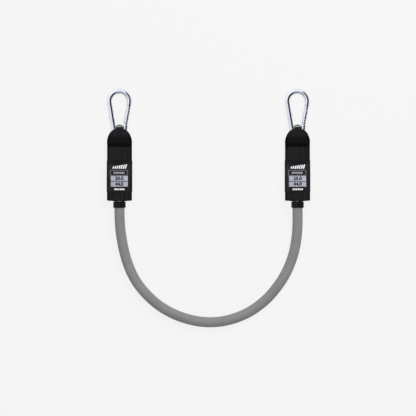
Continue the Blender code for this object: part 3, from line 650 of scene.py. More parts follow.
def ink_look(name, colour, worn_colour):
    """Printed ink with the cloth's grain, a little worn."""
    look = Look(name, Specular_IOR_Level=0.35)
    grain = look.noise((2600.0, 4200.0, 1.0))
    wear = look.noise((420.0, 420.0, 1.0), detail=4.0, roughness=0.7)
    amount = look.total((grain, 0.45), (wear, 0.55))
    ink = look.colours(amount, worn_colour, colour, 0.28, 0.42)
    return look.finish(ink, look.between(grain, 0.45, 0.65), (grain, 0.02, 0.5))


def thread_look():
    """Twisted black sewing thread."""
    look = Look("black_thread", Specular_IOR_Level=0.2)
    x, y, _ = look.places()
    ply = look.wave(look.total((x, 2200.0), (y, 1900.0)))
    fibre = look.noise(6000.0)
    shade = look.total((ply, 0.6), (fibre, 0.4))
    black = look.colours(shade, (0.004, 0.004, 0.0045), (0.017, 0.017, 0.018), 0.0, 1.0)
    return look.finish(black, look.between(fibre, 0.5, 0.75), (ply, 0.05, 0.8), (fibre, 0.01, 0.5))


def tube_look():
    """Satin grey rubber: faint clouds, fine drawing lines along the tube and a powdery grain."""
    look = Look("grey_rubber", laid_flat=True, Specular_IOR_Level=0.15)
    clouds = look.noise(45.0, detail=4.0)
    lines = look.noise((1300.0, 14.0, 1300.0))
    grain = look.noise(3500.0)
    shade = look.total((clouds, 0.6), (lines, 0.25), (grain, 0.15))
    grey = look.colours(shade, (0.222, 0.213, 0.216), (0.268, 0.257, 0.26))
    return look.finish(grey, look.between(clouds, 0.46, 0.6), (lines, 0.05, 0.2), (grain, 0.02, 0.35))


def collar_look():
    """Black rubber, mottled lighter and darker."""
    look = Look("black_rubber", Specular_IOR_Level=0.12)
    mottle = look.noise(420.0, detail=5.0, roughness=0.65)
    pores = look.noise(2600.0)
    shade = look.total((mottle, 0.75), (pores, 0.25))
    black = look.colours(shade, (0.001, 0.0015, 0.002), (0.0125, 0.014, 0.0155), 0.4)
    return look.finish(black, look.between(mottle, 0.45, 0.75), (mottle, 0.15, 0.4), (pores, 0.03, 0.5))


def steel_look(name, dark, light, roughness, drawn, shaded_beyond=None, metallic=1.0):
    """Bright plated steel: a cloudy finish, fine scratches and faint tool marks along the wire. A ring's rim
    beyond a given radius is painted darker: painted shade."""
    look = Look(name, Metallic=metallic, Specular_Tint=(0.45, 0.47, 0.55, 1.0))
    scratches = look.noise(drawn, detail=3.0, roughness=0.7)
    colour = look.colours(look.noise(180.0, detail=4.0), dark, light)
    # Painted shade: a ring's rim darker than its bright inner roll, beyond the given radius
    if shaded_beyond is not None:
        x, y, _ = look.places()
        rim = look.between(look.distance(x, y), 1.0, 0.36, shaded_beyond, shaded_beyond + 0.2 * MM)
        colour = look.shaded(colour, rim)
    smudged = look.between(look.noise(75.0), roughness * 0.8, roughness * 1.3)
    scratched = look.between(scratches, 0.0, 0.06, 0.45, 0.75)
    pits = look.noise(1500.0)
    rough = look.math("ADD", smudged, scratched)
    return look.finish(colour, rough, (scratches, 0.02, 0.12), (pits, 0.01, 0.25))


def nylon_look():
    look = Look("white_nylon", Specular_IOR_Level=0.45, Subsurface_Weight=0.1, Subsurface_Scale=0.002)
    grain = look.noise(3000.0)
    white = look.colours(look.noise(300.0, detail=4.0), (0.56, 0.55, 0.50), (0.68, 0.67, 0.63))
    return look.finish(white, look.between(grain, 0.35, 0.5), (grain, 0.02, 0.3))


def make_tube(look):
    """The hollow rubber tube, stretched over a plug at each end."""
    inside = [(EYE_Y + y, TUBE_AXIS_Z) for y in (TUBE_END_Y, STRAP_BOTTOM_Y, COLLAR_BOTTOM_Y)]
    left = [(END_X["left"], *place) for place in inside]
    right = [(END_X["right"], *place) for place in reversed(inside)]
    points, stations = evenly(smoothed(np.array(left + ROUTE + right), ROUTE_FINENESS), TUBE_STEP)
    length = stations[-1]
    depth = np.minimum(stations, length - stations)
    flare = smooth_step((PLUG_LENGTH + FLARE_LENGTH - depth) / FLARE_LENGTH)
    outer = swept(points, TUBE_OD / 2 + (TUBE_FLARE_RADIUS - TUBE_OD / 2) * flare, TUBE_SIDES)
    inner = swept(points, TUBE_ID / 2 + (TUBE_FLARE_BORE - TUBE_ID / 2) * flare, TUBE_SIDES)
    rings = np.concatenate([outer, inner[::-1]])
    mesh = closed_sleeve(rings)
    turns = circle(TUBE_SIDES)
    along = np.concatenate([stations, stations[::-1]])[:, None]
    lay_flat(mesh, rings, TUBE_OD / 2 * np.cos(turns), along, TUBE_OD / 2 * np.sin(turns))
    finish_surface(mesh, look)
    tube = new_object("rubber_tube", mesh)
    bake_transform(tube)
    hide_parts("tube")


def front_height(y):
    """Height of the middle of the strap's front layer, which rises over the tube's end."""
    share = np.clip((POCKET_START_Y - y) / (POCKET_START_Y - POCKET_FULL_Y), 0.0, 1.0)
    return STRAP_FRONT_Z + (POCKET_FRONT_Z - STRAP_FRONT_Z) * (1 - np.cos(pi * share)) / 2


def front_fall(x, y):
    """How far the front layer lies below its middle, towards its edges."""
    share = (front_height(y) - STRAP_FRONT_Z) / (POCKET_FRONT_Z - STRAP_FRONT_Z)
    return CROWN * share * (x / (WEB_WIDTH / 2)) ** 2


def label_height(x, y, offset=0.0):
    """Height of the label's printed face, with its soft waves, or of one that lies the offset above it."""
    step = 0.01 * MM
    along = (front_height(y + step) - front_height(y - step)) / (2 * step)
    sideways = (front_fall(x + step, y) - front_fall(x - step, y)) / (2 * step)
    out = WEB_THICKNESS / 2 + LABEL_GAP + LABEL_THICKNESS + offset
    wave = LABEL_WAVE * np.sin(x / (3.1 * MM) + y / (5.0 * MM)) * np.sin(y / (6.5 * MM))
    return front_height(y) + out * np.sqrt(1 + along**2 + sideways**2) - front_fall(x, y) + wave


def band_section():
    """Across the webbing: places from edge to edge, and the share of its half thickness there."""
    flat = WEB_WIDTH / 2 - WEB_EDGE
    turns = pi / 2 * np.arange(1, EDGE_STEPS + 1) / EDGE_STEPS
    right, thin = flat + WEB_EDGE * np.sin(turns), np.cos(turns)
    across = np.concatenate([-right[::-1], np.linspace(-flat, flat, WEB_COLUMNS), right])
    return across, np.concatenate([thin[::-1], np.ones(WEB_COLUMNS), thin])


def make_strap(look):
    """One band of ribbed webbing, folded at the bottom around the tube's end, and quilted along its seam."""
    wall_y = STRAP_BOTTOM_Y + WEB_THICKNESS / 2
    turn = STRAP_FOLD_RADIUS
    line = [(STRAP_TOP_Y, STRAP_BACK_Z)]
    line += arc(wall_y + turn, STRAP_BACK_Z + turn, turn, -pi / 2, -pi, 12)
    line += arc(wall_y + turn, POCKET_FRONT_Z - turn, turn, -pi, -1.5 * pi, 12)
    line += [(y, front_height(y)) for y in np.linspace(POCKET_FULL_Y, POCKET_START_Y, 60)]
    line += [(STRAP_TOP_Y, STRAP_FRONT_Z)]
    rows, stations = evenly(np.array([(0.0, y, z) for y, z in line]), RIB_PITCH / RIB_ROWS)
    across, share = band_section()
    y, x = np.meshgrid(rows[:, 1], across, indexing="ij")
    z = rows[:, 2:3]
    z = z - (z - STRAP_BACK_Z) / (front_height(y) - STRAP_BACK_Z) * front_fall(x, y)
    near_fold = smooth_step(1 - (y - wall_y) / FOLD_SHARE)
    y = y + CORNER_PULL * near_fold * np.abs(x / (WEB_WIDTH / 2)) ** 8
    y = y - FOLD_BULGE * near_fold * (1 - smooth_step((np.abs(x) - 6 * MM) / (4 * MM)))
    sway = 0.05 * MM * np.sin(stations / (11.0 * MM)) + 0.03 * MM * np.sin(stations / (4.3 * MM) + 1.0)
    middle = np.stack([x + sway[:, None], y, z], axis=2)
    outward = unit(np.cross(np.gradient(middle, axis=1), np.gradient(middle, axis=0)))
    rib = RIB_HEIGHT * np.cos(2 * pi * stations / RIB_PITCH)
    quilt = sum(np.exp(-(((rows[:, 1] - row) / QUILT_WIDTH) ** 2)) for row in SEAM_ROWS)
    half = (WEB_THICKNESS / 2 + rib[:, None] - QUILT_DEPTH * quilt[:, None]) * share
    out = outward * half[:, :, None]
    rings = np.concatenate([middle + out, (middle - out)[:, -2:0:-1]], axis=1)
    reach = 3 * WEB_THICKNESS
    hole = rod(HOLE_RADIUS, -reach, reach, "y", 64, (0.0, wall_y, TUBE_AXIS_Z))
    notch = rod(NOTCH_RADIUS, -reach, reach, "y", 48, (0.0, wall_y, NOTCH_TOP_Z - NOTCH_RADIUS))
    mesh = boolean(capped_loft(rings), [hole, notch])
    # The distance from the strap's cut ends, which the webbing's look turns into painted shade near the seam
    from_end = np.minimum(stations, stations[-1] - stations)[:, None]
    lay_flat(mesh, rings, np.concatenate([across, across[-2:0:-1]]), stations[:, None], from_end)
    at_both_ends("webbing_strap", mesh, look, "webbing", "strap")


def loop_line(eye_height, lean):
    """Middle points and sections of the loop, from its front end through the eyelet to its back end."""
    ahead, down = cos(lean), sin(lean)
    half, flat = WEB_WIDTH / 2, WEB_THICKNESS / 2

    def way(side, level):
        found = []
        for turn, distance, width, thinness, squareness in LOOP_SECTIONS:
            thickness = WAIST + (flat - WAIST) * thinness
            reach = LOOP_ROOM + distance + thickness
            out, up = reach * cos(turn), side * reach * sin(turn)
            y = -NARROW_RADIUS + out * ahead + up * down
            z = eye_height - out * down + up * ahead
            found.append((0.0, y, z, WAIST + (half - WAIST) * width, thickness, squareness, 1 - thinness))
        found.append((0.0, (y + STRAP_TOP_Y) / 2, z + (level - z) * LEG_DROP, half, flat, 6.5, 0.0))
        ends = (STRAP_TOP_Y, STRAP_TOP_Y - 3 * MM, LOOP_END_Y)
        return found + [(0.0, y, level, half, flat, 8.0, 0.0) for y in ends]

    return np.array(way(1, LOOP_FRONT_Z)[::-1] + way(-1, LOOP_BACK_Z)[1:])


def make_hook_loop(look):
    """The webbing loop, gathered in long pleats where it runs through the eyelet."""
    lean = asin(JOINTS["left_hook_turn"]["axis"][1])
    line = loop_line(JOINTS["left_hook_swing"]["pos_m"][2], lean)
    rows, stations = evenly(smoothed(line, 24), LOOP_STEP)
    ways = unit(np.gradient(rows[:, :3], axis=0))
    outward = np.stack([np.zeros(len(rows)), -ways[:, 2], ways[:, 1]], axis=1)
    turns = circle(LOOP_POINTS, 0.5)
    power = 2 / rows[:, 5:6]
    across = np.sign(np.cos(turns)) * np.abs(np.cos(turns)) ** power
    up = np.sign(np.sin(turns)) * np.abs(np.sin(turns)) ** power
    walked = stations[:, None]
    gather = np.clip(rows[:, 6:7], 0.0, 1.0)
    drift = 0.6 + 0.5 * np.sin(walked / (2.7 * MM)) + 0.7 * np.sin(3.1 * across)
    fullness = np.sqrt(gather) * (1 - 0.75 * gather)
    pleats = PLEAT_DEPTH * fullness * (np.cos(2 * pi * PLEATS * across + drift) - 0.4)
    rib = RIB_HEIGHT * (1 - gather) * np.cos(2 * pi * walked / RIB_PITCH)
    face = np.abs(np.sin(turns)) ** 0.5 * np.sign(np.sin(turns))
    rise = rows[:, 4:5] * up + face * (pleats + rib)
    rings = rows[:, None, :3] + outward[:, None] * rise[:, :, None]
    rings[:, :, 0] += rows[:, 3:4] * across
    mesh = capped_loft(rings)
    # Painted shade for the webbing's look: the loop darker close to the strap's edge and, up to a longer
    # reach, towards its sides
    above = np.maximum(rings[:, :, 1] - STRAP_TOP_Y, 0.0)
    shaded_reach = 5.5 * MM + 4 * MM * np.minimum(np.abs(rings[:, :, 0]) / (8 * MM), 1.0) ** 2
    shade = 1.5 + 0.7 * smooth_step(above / (5 * MM)) + 0.8 * smooth_step((above - shaded_reach) / (3 * MM))
    lay_flat(mesh, rings, (WEB_WIDTH / 2 - 3 * MM * gather) * across, walked, shade * MM)

    def bend(loop, side):
        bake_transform(loop)

    at_both_ends("gathered_loop", mesh, look, "webbing", "hook_loop", body=bend)


def stitch(start, end, surface, sign, y):
    """Rings of one raised stitch along x, its ends sunk into the cloth."""
    share = np.linspace(0.0, 1.0, STITCH_RINGS)
    x = start + (end - start) * share
    lift = (0.32 * np.sin(pi * share) ** 0.6 - 0.1) * MM
    points = np.stack([x, np.full(STITCH_RINGS, y), surface(x, y) + sign * lift], axis=1)
    return swept(points, THREAD / 2 * (0.75 + 0.25 * np.sin(pi * share)), STITCH_SIDES)


def stitched_rows(name, rows, surface, sign, look, node):
    """All the stitches of a seam on one face, as one piece."""
    vertices, faces = [], []
    first = -STITCH_PITCH * STITCHES_IN_ROW / 2
    for k, y in enumerate(rows):
        for i in range(STITCHES_IN_ROW):
            start = first + (i + 0.5 * (1 - STITCH_SHARE)) * STITCH_PITCH
            drift = 0.12 * MM * sin(2.3 * i + 1.7 * k)
            rings = stitch(start, start + STITCH_SHARE * STITCH_PITCH, surface, sign, y + drift)
            base = len(vertices)
            faces += [tuple(base + j for j in face) for face in capped_faces(STITCH_RINGS, STITCH_SIDES)]
            vertices += list(rings.reshape(-1, 3))
    mesh = mesh_from(vertices, faces)
    at_both_ends(name, mesh, look, "thread", node, sharp=radians(80.0))


def make_stitching(look):
    """The seam of strap and loop, seen in front and behind, and the label's hem."""
    face = WEB_THICKNESS / 2 - QUILT_DEPTH
    front, back = STRAP_FRONT_Z + face, STRAP_BACK_Z - face
    stitched_rows("seam_front", SEAM_ROWS, lambda x, y: front + 0 * x, 1, look, "needle_thread")
    stitched_rows("seam_back", SEAM_ROWS, lambda x, y: back + 0 * x, -1, look, "bobbin_thread")
    hem = [LABEL_TOP_Y - LABEL_HEM]
    stitched_rows("label_hem", hem, lambda x, y: label_height(x, y, -0.05 * MM), 1, look, "label_thread")


def label_ring(y, inset):
    """One ring of the sleeve around both layers of the strap, the inset inside its outer face."""
    half = WEB_WIDTH / 2 + LABEL_GAP + LABEL_THICKNESS - inset
    corner = LABEL_CORNER - inset * 0.6
    flat = half - corner
    tilt = atan(2 * front_fall(flat, y) / flat)
    reach = flat + corner * sin(tilt)
    x = np.linspace(reach, -reach, LABEL_COLUMNS)
    top = label_height(x, y, -inset)
    low = STRAP_BACK_Z - WEB_THICKNESS / 2 - LABEL_GAP - LABEL_THICKNESS + inset
    drop = corner * cos(tilt)
    points = list(zip(x, top))
    points += arc(-flat, top[-1] - drop, corner, pi / 2 + tilt, pi, 5)[1:]
    points += arc(-flat, low + corner, corner, pi, 1.5 * pi, 5)
    points += [(value, low) for value in np.linspace(-flat, flat, 12)[1:-1]]
    points += arc(flat, low + corner, corner, 1.5 * pi, 2 * pi, 5)
    points += arc(flat, top[0] - drop, corner, 0.0, pi / 2 - tilt, 5)[:-1]
    return [(px, y, pz) for px, pz in points]


def make_label(look):
    """The thin printed sleeve around both layers, its ends folded over into a rounded edge."""
    rows = np.linspace(LABEL_TOP_Y, LABEL_BOTTOM_Y, LABEL_ROWS)
    first, last, deep = rows[0], rows[-1], LABEL_THICKNESS - LABEL_EDGE
    rings = [(first, LABEL_EDGE), (first - LABEL_EDGE, 0.0)]
    rings += [(y, 0.0) for y in rows[1:-1]]
    rings += [(last + LABEL_EDGE, 0.0), (last, LABEL_EDGE), (last, deep)]
    rings += [(y, LABEL_THICKNESS) for y in rows[-2:0:-3]] + [(first, deep)]
    mesh = closed_sleeve(np.array([label_ring(*ring) for ring in rings]))
    at_both_ends("label_band", mesh, look, "label", "label_sleeve")


def printed(name, ink, look, level=1):
    """Flat ink, a mesh or a list of outlines of (x, y) points, cut into small cells, laid on the label's
    curved face and given its thickness."""
    bm = bmesh.new()
    if isinstance(ink, bpy.types.Mesh):
        bm.from_mesh(ink)
    else:
        for outline in ink:
            bm.faces.new([bm.verts.new((x, y, 0.0)) for x, y in outline])
    for axis, cell in enumerate((2 * INK_CELL, INK_CELL)):
        places = [vert.co[axis] for vert in bm.verts]
        for i in range(1, int((max(places) - min(places)) / cell) + 1):
            spot, way = [0.0] * 3, [0.0] * 3
            spot[axis], way[axis] = min(places) + i * cell, 1.0
            geometry = bm.verts[:] + bm.edges[:] + bm.faces[:]
            bmesh.ops.bisect_plane(bm, geom=geometry, plane_co=spot, plane_no=way)
    bmesh.ops.triangulate(bm, faces=bm.faces)
    bmesh.ops.recalc_face_normals(bm, faces=bm.faces)
    for face in bm.faces:
        if face.normal.z < 0:
            face.normal_flip()
    top = bmesh.ops.extrude_face_region(bm, geom=bm.faces[:])
    upper = {vert for vert in top["geom"] if isinstance(vert, bmesh.types.BMVert)}
    for vert in bm.verts:
        rise = level * INK_THICKNESS + (INK_THICKNESS if vert in upper else -0.5 * INK_THICKNESS)
        vert.co.z = label_height(vert.co.x, vert.co.y, rise)
    bmesh.ops.recalc_face_normals(bm, faces=bm.faces)
    bm.verts.index_update()
    # The faces come in another order each run, so they are put in one that stays the same
    faces = [[vert.index for vert in face.verts] for face in bm.faces]
    faces = sorted(face[face.index(min(face)) :] + face[: face.index(min(face))] for face in faces)
    mesh = mesh_from([vert.co for vert in bm.verts], faces)
    bm.free()
    at_both_ends(name, mesh, look, "label")


def number_mesh(text, middle_x, middle_y):
    """A plain number as flat faces."""
    data = bpy.data.curves.new("number", "FONT")
    data.body = text
    data.align_x, data.align_y = "CENTER", "CENTER"
    data.size = NUMBER_HEIGHT / 0.7
    data.offset = NUMBER_WEIGHT
    mesh = evaluated_mesh(new_object("number", data))
    mesh.transform(Matrix.Translation((middle_x, middle_y, 0.0)))
    return mesh


def make_print():
    """Generic marks where the label is printed: rising bars, a box with blocks, two numbers, dashes."""
    white = ink_look("white_ink", (0.78, 0.78, 0.79), (0.42, 0.42, 0.43))
    grey = ink_look("grey_ink", (0.135, 0.135, 0.15), (0.08, 0.08, 0.09))
    pale = ink_look("pale_ink", (0.405, 0.41, 0.48), (0.26, 0.26, 0.31))
    dark = ink_look("dark_ink", (0.006, 0.006, 0.008), (0.03, 0.03, 0.036))
    left, right, low, high = MARK_BARS
    pitch = (right - left - BAR_SLANT) / BARS
    bars = []
    for i in range(BARS):
        start, share = left + i * pitch, 0.45 + 0.55 * (i + 1) / BARS
        top = low + (high - low) * share
        bars.append(rectangle(start, start + 0.66 * pitch, low, top, BAR_SLANT * share))
    printed("white_bars", bars, white)
    left, right, low, high = MARK_BOX
    line = BOX_LINE
    sides = [
        rectangle(left, right, low, low + line),
        rectangle(left, right, high - line, high),
        rectangle(left, left + line, low + line, high - line),
        rectangle(right - line, right, low + line, high - line),
    ]
    printed("grey_box_line", sides, grey)
    starts = [left + 4.6 * MM + i * 1.5 * MM for i in range(BLOCKS)]
    middle, half = (low + high) / 2, 1.1 * MM
    blocks = [rectangle(start, start + 1.0 * MM, middle - half, middle + half) for start in starts]
    printed("grey_blocks", blocks, ink_look("light_grey_ink", (0.40, 0.40, 0.42), (0.2, 0.2, 0.22)))
    for k, (panel, text) in enumerate(zip((MARK_PANEL_1, MARK_PANEL_2), NUMBERS), 1):
        left, right, low, high = panel
        printed(f"pale_panel_{k}", [rectangle(*panel)], pale)
        printed(f"number_{k}", number_mesh(text, (left + right) / 2, (low + high) / 2), dark, 2)
    left, right, low, high = MARK_DASHES
    pitch = (right - left) / DASHES
    dashes = [rectangle(left + i * pitch, left + (i + 0.82) * pitch, low, high) for i in range(DASHES)]
    printed("white_dashes", dashes, white)


def make_collar(look):
    """The rubber ring under the strap, with shallow flutes round it."""
    top, bottom = COLLAR_TOP_Y, COLLAR_BOTTOM_Y
    outer, rounding = COLLAR_RADIUS, 0.9 * MM
    profile = [(COLLAR_BORE, top), (outer - 0.4 * MM, top), (outer - 0.12 * MM, top - 0.12 * MM)]
    profile += [(outer, y) for y in np.linspace(top - 0.4 * MM, bottom + rounding, 14)]
    profile += arc(outer - rounding, bottom + rounding, rounding, 0.0, -pi / 2, 8)[1:]
    profile += [(COLLAR_BORE, bottom)]

    def flutes(turn, rows):
        depth = (top - rows[:, 1]) / (top - bottom)
        reach = smooth_step(depth / 0.2) * smooth_step((1 - depth) / 0.25) * (rows[:, 0] > outer - 0.1 * MM)
        bands = 0.04 * MM * np.cos(2 * pi * depth * 3)
        return -reach * (FLUTE_DEPTH * (0.5 + 0.5 * cos(COLLAR_FLUTES * turn)) + bands)

    mesh = turned(profile, COLLAR_FLUTES * 6, flutes)
    mesh.transform(Matrix.Translation((0.0, 0.0, TUBE_AXIS_Z)) @ ALONG_Y)
    sharp = radians(50.0)
    at_both_ends("rubber_collar", mesh, look, "collar_rubber", "collar", body="end", sharp=sharp)


def make_plug(look):
    """The barbed plug inside the tube's end, head towards the hook."""
    radius, barb, barbs = 4.5 * MM, 0.5 * MM, 3
    step = PLUG_LENGTH / (barbs + 1)
    root, head, top, edge = radius - barb, radius + 0.7 * MM, 2.8 * MM, 0.6 * MM
    profile = [(0.0, top), (head - edge, top)]
    profile += arc(head - edge, top - edge, edge, pi / 2, 0.0, 6)[1:] + [(head, GAP), (root, GAP)]
    for i in range(barbs):
        shoulder = -i * step - barb
        profile += [(root, shoulder), (radius, shoulder), (root, -(i + 1) * step)]
    profile += [(radius / 2, -PLUG_LENGTH), (0.0, -PLUG_LENGTH)]
    mesh = turned(profile, 48)
    mesh.transform(Matrix.Translation((0.0, TUBE_END_Y, TUBE_AXIS_Z)) @ ALONG_Y)
    at_both_ends("barbed_plug", mesh, look, "plug_nylon", "plug", body="end")


def gate_point(x, y):
    """A place given along the gate, in the hook's own plane."""
    ahead, aside = cos(GATE_LEAN), sin(GATE_LEAN)
    return PIVOT[0] + x * ahead + y * aside, PIVOT[1] - x * aside + y * ahead


def capsule(first, first_radius, second, second_radius, steps=24):
    """The outline around two circles, counter-clockwise."""
    way = atan2(second[1] - first[1], second[0] - first[0])
    spread = acos((first_radius - second_radius) / dist(first, second))
    near = arc(*first, first_radius, way + spread, way - spread + 2 * pi, steps)
    return near + arc(*second, second_radius, way - spread, way + spread, steps)


def hook_line():
    """The middle line of the bent wire, from its hinge end round the eyelet and the wide end to the nose."""
    way = atan2(WIDE_Y, WIDE_X)
    lean = asin((WIDE_RADIUS - NARROW_RADIUS) / hypot(WIDE_X, WIDE_Y))
    left = way + pi / 2 + lean
    right = way - pi / 2 - lean
    line = [HINGE_END]
    line += arc(0.0, 0.0, NARROW_RADIUS, 2 * pi, left, 90)
    line += arc(WIDE_X, WIDE_Y, WIDE_RADIUS, left, right, 120)
    line += [gate_point(0.0, GATE_LENGTH + NOSE_GAP)]
    return np.array([(x, y, 0.0) for x, y in line])


def make_hook_body(look):
    """Bent round wire with its two ends flattened: one for the gate's rivet, one notched for its latch."""
    points, stations = evenly(hook_line(), WIRE_STEP)
    depth = np.minimum(stations, stations[-1] - stations)
    radii = WIRE / 2 - EDGE_ROUNDING * np.clip(1 - depth / EDGE_ROUNDING, 0.0, 1.0)
    wire = capped_loft(swept(points, radii, WIRE_SIDES))
    cam = (PIVOT[0] + CAM_THROW * cos(CAM_DIRECTION), PIVOT[1] + CAM_THROW * sin(CAM_DIRECTION))
    base = (HINGE_END[0] - GAP, HINGE_END[1] - WIRE / 2)
    hinge = plate(capsule(base, WIRE / 2 - GAP / 2, cam, CAM_RADIUS), HINGE_TONGUE)
    face, half = GATE_LENGTH + NOSE_GAP, NOSE_TONGUE_WIDTH / 2
    corners = rectangle(-half, half, face - NOSE_TONGUE_LENGTH, face + NOSE_ROOT)
    nose = plate([gate_point(*corner) for corner in corners], NOSE_TONGUE)
    sweep = NOSE_TONGUE_WIDTH
    room = LATCH_RADIUS + NOTCH_GAP
    swung = gate_point(-sweep, LATCH_Y - sweep**2 / (2 * LATCH_Y))
    notch = plate(capsule(gate_point(0.0, LATCH_Y), room, swung, room), 2 * NOSE_TONGUE)
    rivet = rod(RIVET_RADIUS + GAP / 3, -WIRE, WIRE, "z", place=(*PIVOT, 0.0))
    body = with_round_edges(boolean(boolean(wire, [hinge, nose], "UNION"), [notch, rivet]))
    at_both_ends("hook_wire", body, look, "hook_steel", "hook_body", at=hook_matrix, body="hook")


def make_gate(look):
    """The round gate, forked at both ends and bored for its spring."""
    radius, wide = GATE_DIAMETER / 2, GATE_DIAMETER
    gate = rod(radius, -radius, GATE_LENGTH, "y", WIRE_SIDES)
    tip = GATE_LENGTH - 0.01 * MM
    outline = arc(0.0, 0.0, radius + 0.01 * MM, pi, 2 * pi, 32)
    outline += [(radius + GAP, tip - GATE_EDGE), (radius - GATE_EDGE, tip)]
    outline += [(GATE_EDGE - radius, tip), (-radius - GAP, tip - GATE_EDGE)]
    gate = boolean(gate, [plate(outline, 2 * wide)], "INTERSECT")
    cutters = [
        plate(rectangle(-wide, wide, -wide, FORK_DEPTH), HINGE_TONGUE + 2 * GAP),
        plate(rectangle(-wide, wide, TIP_SLOT_Y, GATE_LENGTH + wide), NOSE_TONGUE + 2 * GAP),
        rod(PUSHER_RADIUS + GAP, 0.0, BORE_DEPTH, "y"),
        rod(RIVET_RADIUS + GAP / 3, -wide, wide, "z"),
        rod(LATCH_RADIUS + GAP / 3, -wide, wide, "z", place=(0.0, LATCH_Y, 0.0)),
    ]
    gate = with_round_edges(boolean(gate, cutters))
    at_both_ends("sprung_gate", gate, look, "hook_steel", "gate", at=gate_matrix, body="hook_gate")


def pin_profile(radius, half, head, head_height):
    """Half the outline of a pin along z, its ends domed and, if the head is wider, upset over the hole."""
    dome = np.linspace(0.0, pi / 2, 7)
    profile = [(radius, 0.0), (radius, half)]
    profile += [(head * cos(turn), half + head_height * sin(turn)) for turn in dome]
    return [(r, -z) for r, z in reversed(profile)] + profile[1:]


def make_pins(look):
    """The rivet that the gate turns on, and the cross pin in its tip."""
    half = GATE_DIAMETER / 2
    rivet = turned(pin_profile(RIVET_RADIUS, half - 0.2 * MM, 1.35 * MM, 0.45 * MM), 40)
    on_pivot = shifted(hook_matrix, *PIVOT)
    at_both_ends("domed_rivet", rivet, look, "hook_steel", "gate_rivet", at=on_pivot, body="hook")
    latch = turned(pin_profile(LATCH_RADIUS, half - 0.12 * MM, LATCH_RADIUS, 0.2 * MM), 36)
    in_tip = shifted(gate_matrix, 0.0, LATCH_Y)
    at_both_ends("latch_cross_pin", latch, look, "hook_steel", "latch_pin", at=in_tip, body="hook_gate")


def make_gate_spring(pin_look, spring_look):
    """The pusher on the hinge's cam, and the coil around its stem."""
    radius, head, stem, edge = PUSHER_RADIUS, PUSHER_HEAD, STEM_RADIUS, 0.2 * MM
    top = head + STEM_LENGTH
    profile = [(0.0, top), (stem - edge / 2, top), (stem, top - edge / 2), (stem, head)]
    profile += [(radius - edge / 2, head), (radius, head - edge / 2)]
    profile += arc(radius - edge, edge, edge, 0.0, -pi / 2, 4) + [(0.0, 0.0)]
    pusher = turned(profile, 36)

    def on_cam(side):
        return shifted(gate_matrix, 0.0, PUSHER_START)(side) @ ALONG_Y

    at_both_ends("spring_plunger", pusher, pin_look, "hook_steel", "spring_pusher", at=on_cam, body="pusher")
    start = PUSHER_START + PUSHER_HEAD + GAP + SPRING_WIRE / 2
    end = BORE_DEPTH - GAP - SPRING_WIRE / 2
    coil = STEM_RADIUS + GAP + SPRING_WIRE / 2
    turns = np.linspace(0.0, 2 * pi * SPRING_TURNS, 24 * SPRING_TURNS + 1)
    out = np.stack([np.cos(turns), np.sin(turns), np.zeros(len(turns))], axis=1)
    points = coil * out
    points[:, 2] = start + (end - start) * turns / turns[-1]
    mesh = capped_loft(swept(points, np.full(len(turns), SPRING_WIRE / 2), 10, out))
    mesh.transform(ALONG_Y)

    def squeeze(spring, side):
        near, far = (tuple(gate_matrix(side) @ Vector((0.0, y, 0.0))) for y in (start, end))
        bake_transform(spring)

    slot, node = "spring_steel", "gate_spring"
    at_both_ends("closing_coil", mesh, spring_look, slot, node, at=gate_matrix, body=squeeze)


def make_eyelet(look):
    """A thin ring pressed around the inside of the hook's wire, its two rims rolled round."""
    wire_face = WIRE / 2 + EYELET_GAP
    bore_face = wire_face + EYELET_WALL
    wire_turn, bore_turn = (acos(EYELET_LIP / face) for face in (wire_face, bore_face))
    outer = arc(NARROW_RADIUS, 0.0, wire_face, pi - wire_turn, pi + wire_turn, 20)
    inner = arc(NARROW_RADIUS, 0.0, bore_face, pi + bore_turn, pi - bore_turn, 20)

    def rim(first, last):
        middle = ((first[0] + last[0]) / 2, (first[1] + last[1]) / 2)
        start = atan2(first[1] - middle[1], first[0] - middle[0])
        return arc(*middle, dist(first, last) / 2, start, start + pi, 6)[1:-1]

    mesh = turned(outer + rim(outer[-1], inner[0]) + inner + rim(inner[-1], outer[0]), 96)
    at_both_ends("rolled_eyelet", mesh, look, "eyelet_steel", "eyelet", at=hook_matrix, body="eyelet_ring")


def make_camera():
    data = bpy.data.cameras.new("camera")
    data.lens = LENS
    data.sensor_width = SENSOR
    camera = new_object("camera", data)
    camera.location = (VIEW_X, VIEW_Y, VIEW_PLANE + VIEW_WIDTH * LENS / SENSOR)
    bpy.context.scene.camera = camera


def empty_nodes(owner):
    owner.use_nodes = True
    owner.node_tree.nodes.clear()
    return Nodes(owner.node_tree)


def make_floor():
    """A plain pale table, which the camera and the metal see at its own colour, with a soft shadow."""
    half = FLOOR_SIZE / 2
    corners = [(x, y, 0.0) for x, y in rectangle(-half, half, -half, half)]
    floor = new_object("floor", mesh_from(corners, [(0, 1, 2, 3)]))
    material = bpy.data.materials.new("pale_table")
    nodes = empty_nodes(material)
    path = nodes.node("LightPath")
    seen = nodes.math("ADD", path["Is Camera Ray"], path["Is Transmission Ray"])
    own = nodes.times(seen, OWN_LIGHT)
    share = nodes.math("MULTIPLY_ADD", path["Is Glossy Ray"], FLOOR_IN_METAL, own)
    diffuse, glow = (nodes.node(kind, {"Color": BACKDROP})[0] for kind in ("BsdfDiffuse", "Emission"))
    nodes.node("OutputMaterial", nodes.node("MixShader", (share, diffuse, glow)))
    floor.data.materials.append(material)


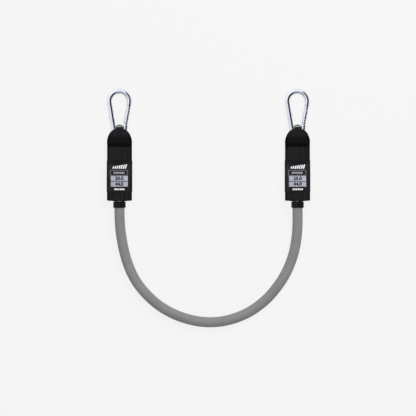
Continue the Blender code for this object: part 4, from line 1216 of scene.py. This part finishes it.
def make_world():
    """Plain soft daylight all round. Bright metal sees more of a studio: a dark panel on its +X side, with
    the brightest light on the other side and less light from below the picture."""
    world = bpy.data.worlds.new("studio")
    bpy.context.scene.world = world
    nodes = empty_nodes(world)

    def background(colour, strength=1.0):
        return nodes.node("Background", (colour, strength))[0]

    def eased(value, start, end, low, high):
        return nodes.between(value, low, high, start, end, interpolation_type="SMOOTHSTEP")

    x, y, _ = nodes.node("SeparateXYZ", [nodes.node("TexCoord")["Generated"]])
    towards_panel = nodes.math("SUBTRACT", x, nodes.times(nodes.math("ABSOLUTE", y), 0.5))
    covered = eased(towards_panel, -0.02, 0.09, 0.0, 1.0)
    light = nodes.times(eased(x, -0.7, 0.15, 1.12, 0.88), eased(y, -0.6, 0.25, 0.38, 1.0))
    light = nodes.times(light, eased(y, 0.5, 0.75, 1.0, 1.4))
    studio = background(nodes.shaded(STUDIO_TINT, light))
    metal = nodes.node("MixShader", (covered, studio, background(DARK_PANEL)))[0]
    path = nodes.node("LightPath")
    lit = nodes.node("MixShader", (path["Is Glossy Ray"], background(WHITE, SKY), metal))[0]
    final = nodes.node("MixShader", (path["Is Camera Ray"], lit, background(BACKDROP)))
    nodes.node("OutputWorld", final)


def make_lamp(name, place, size, power):
    data = bpy.data.lights.new(name, "AREA")
    data.shape = "SQUARE"
    data.size = size
    data.energy = power
    lamp = new_object(name, data)
    lamp.visible_glossy = False
    lamp.location = place
    aim = Vector((0.0, VIEW_Y, 0.0)) - Vector(place)
    lamp.rotation_euler = aim.to_track_quat("-Z", "Y").to_euler()


def make_studio():
    make_camera()
    make_floor()
    make_world()
    make_lamp("key", (0.6, 0.8, 1.2), 0.7, 16.0)
    make_lamp("fill", (-0.7, -0.1, 1.4), 0.9, 5.0)
    bpy.context.scene.view_settings.view_transform = "Standard"


def make_pieces():
    webbing = webbing_look()
    steel = steel_look("plated_steel", (0.74, 0.76, 0.80), (0.83, 0.85, 0.88), 0.14, (1500.0, 120.0, 1500.0))
    eyelet = steel_look("eyelet_metal", (0.86, 0.86, 0.87), (0.93, 0.93, 0.94), 0.4, 500.0, EYELET_RIM_SHADE, 0.25)
    coil = steel_look("spring_wire", (0.42, 0.42, 0.44), (0.54, 0.54, 0.55), 0.22, (400.0, 400.0, 3000.0))
    make_tube(tube_look())
    make_strap(webbing)
    make_hook_loop(webbing)
    make_stitching(thread_look())
    make_label(label_look())
    make_print()
    make_collar(collar_look())
    make_plug(nylon_look())
    make_hook_body(steel)
    make_gate(steel)
    make_pins(steel)
    make_gate_spring(steel, coil)
    make_eyelet(eyelet)


make_studio()
make_pieces()
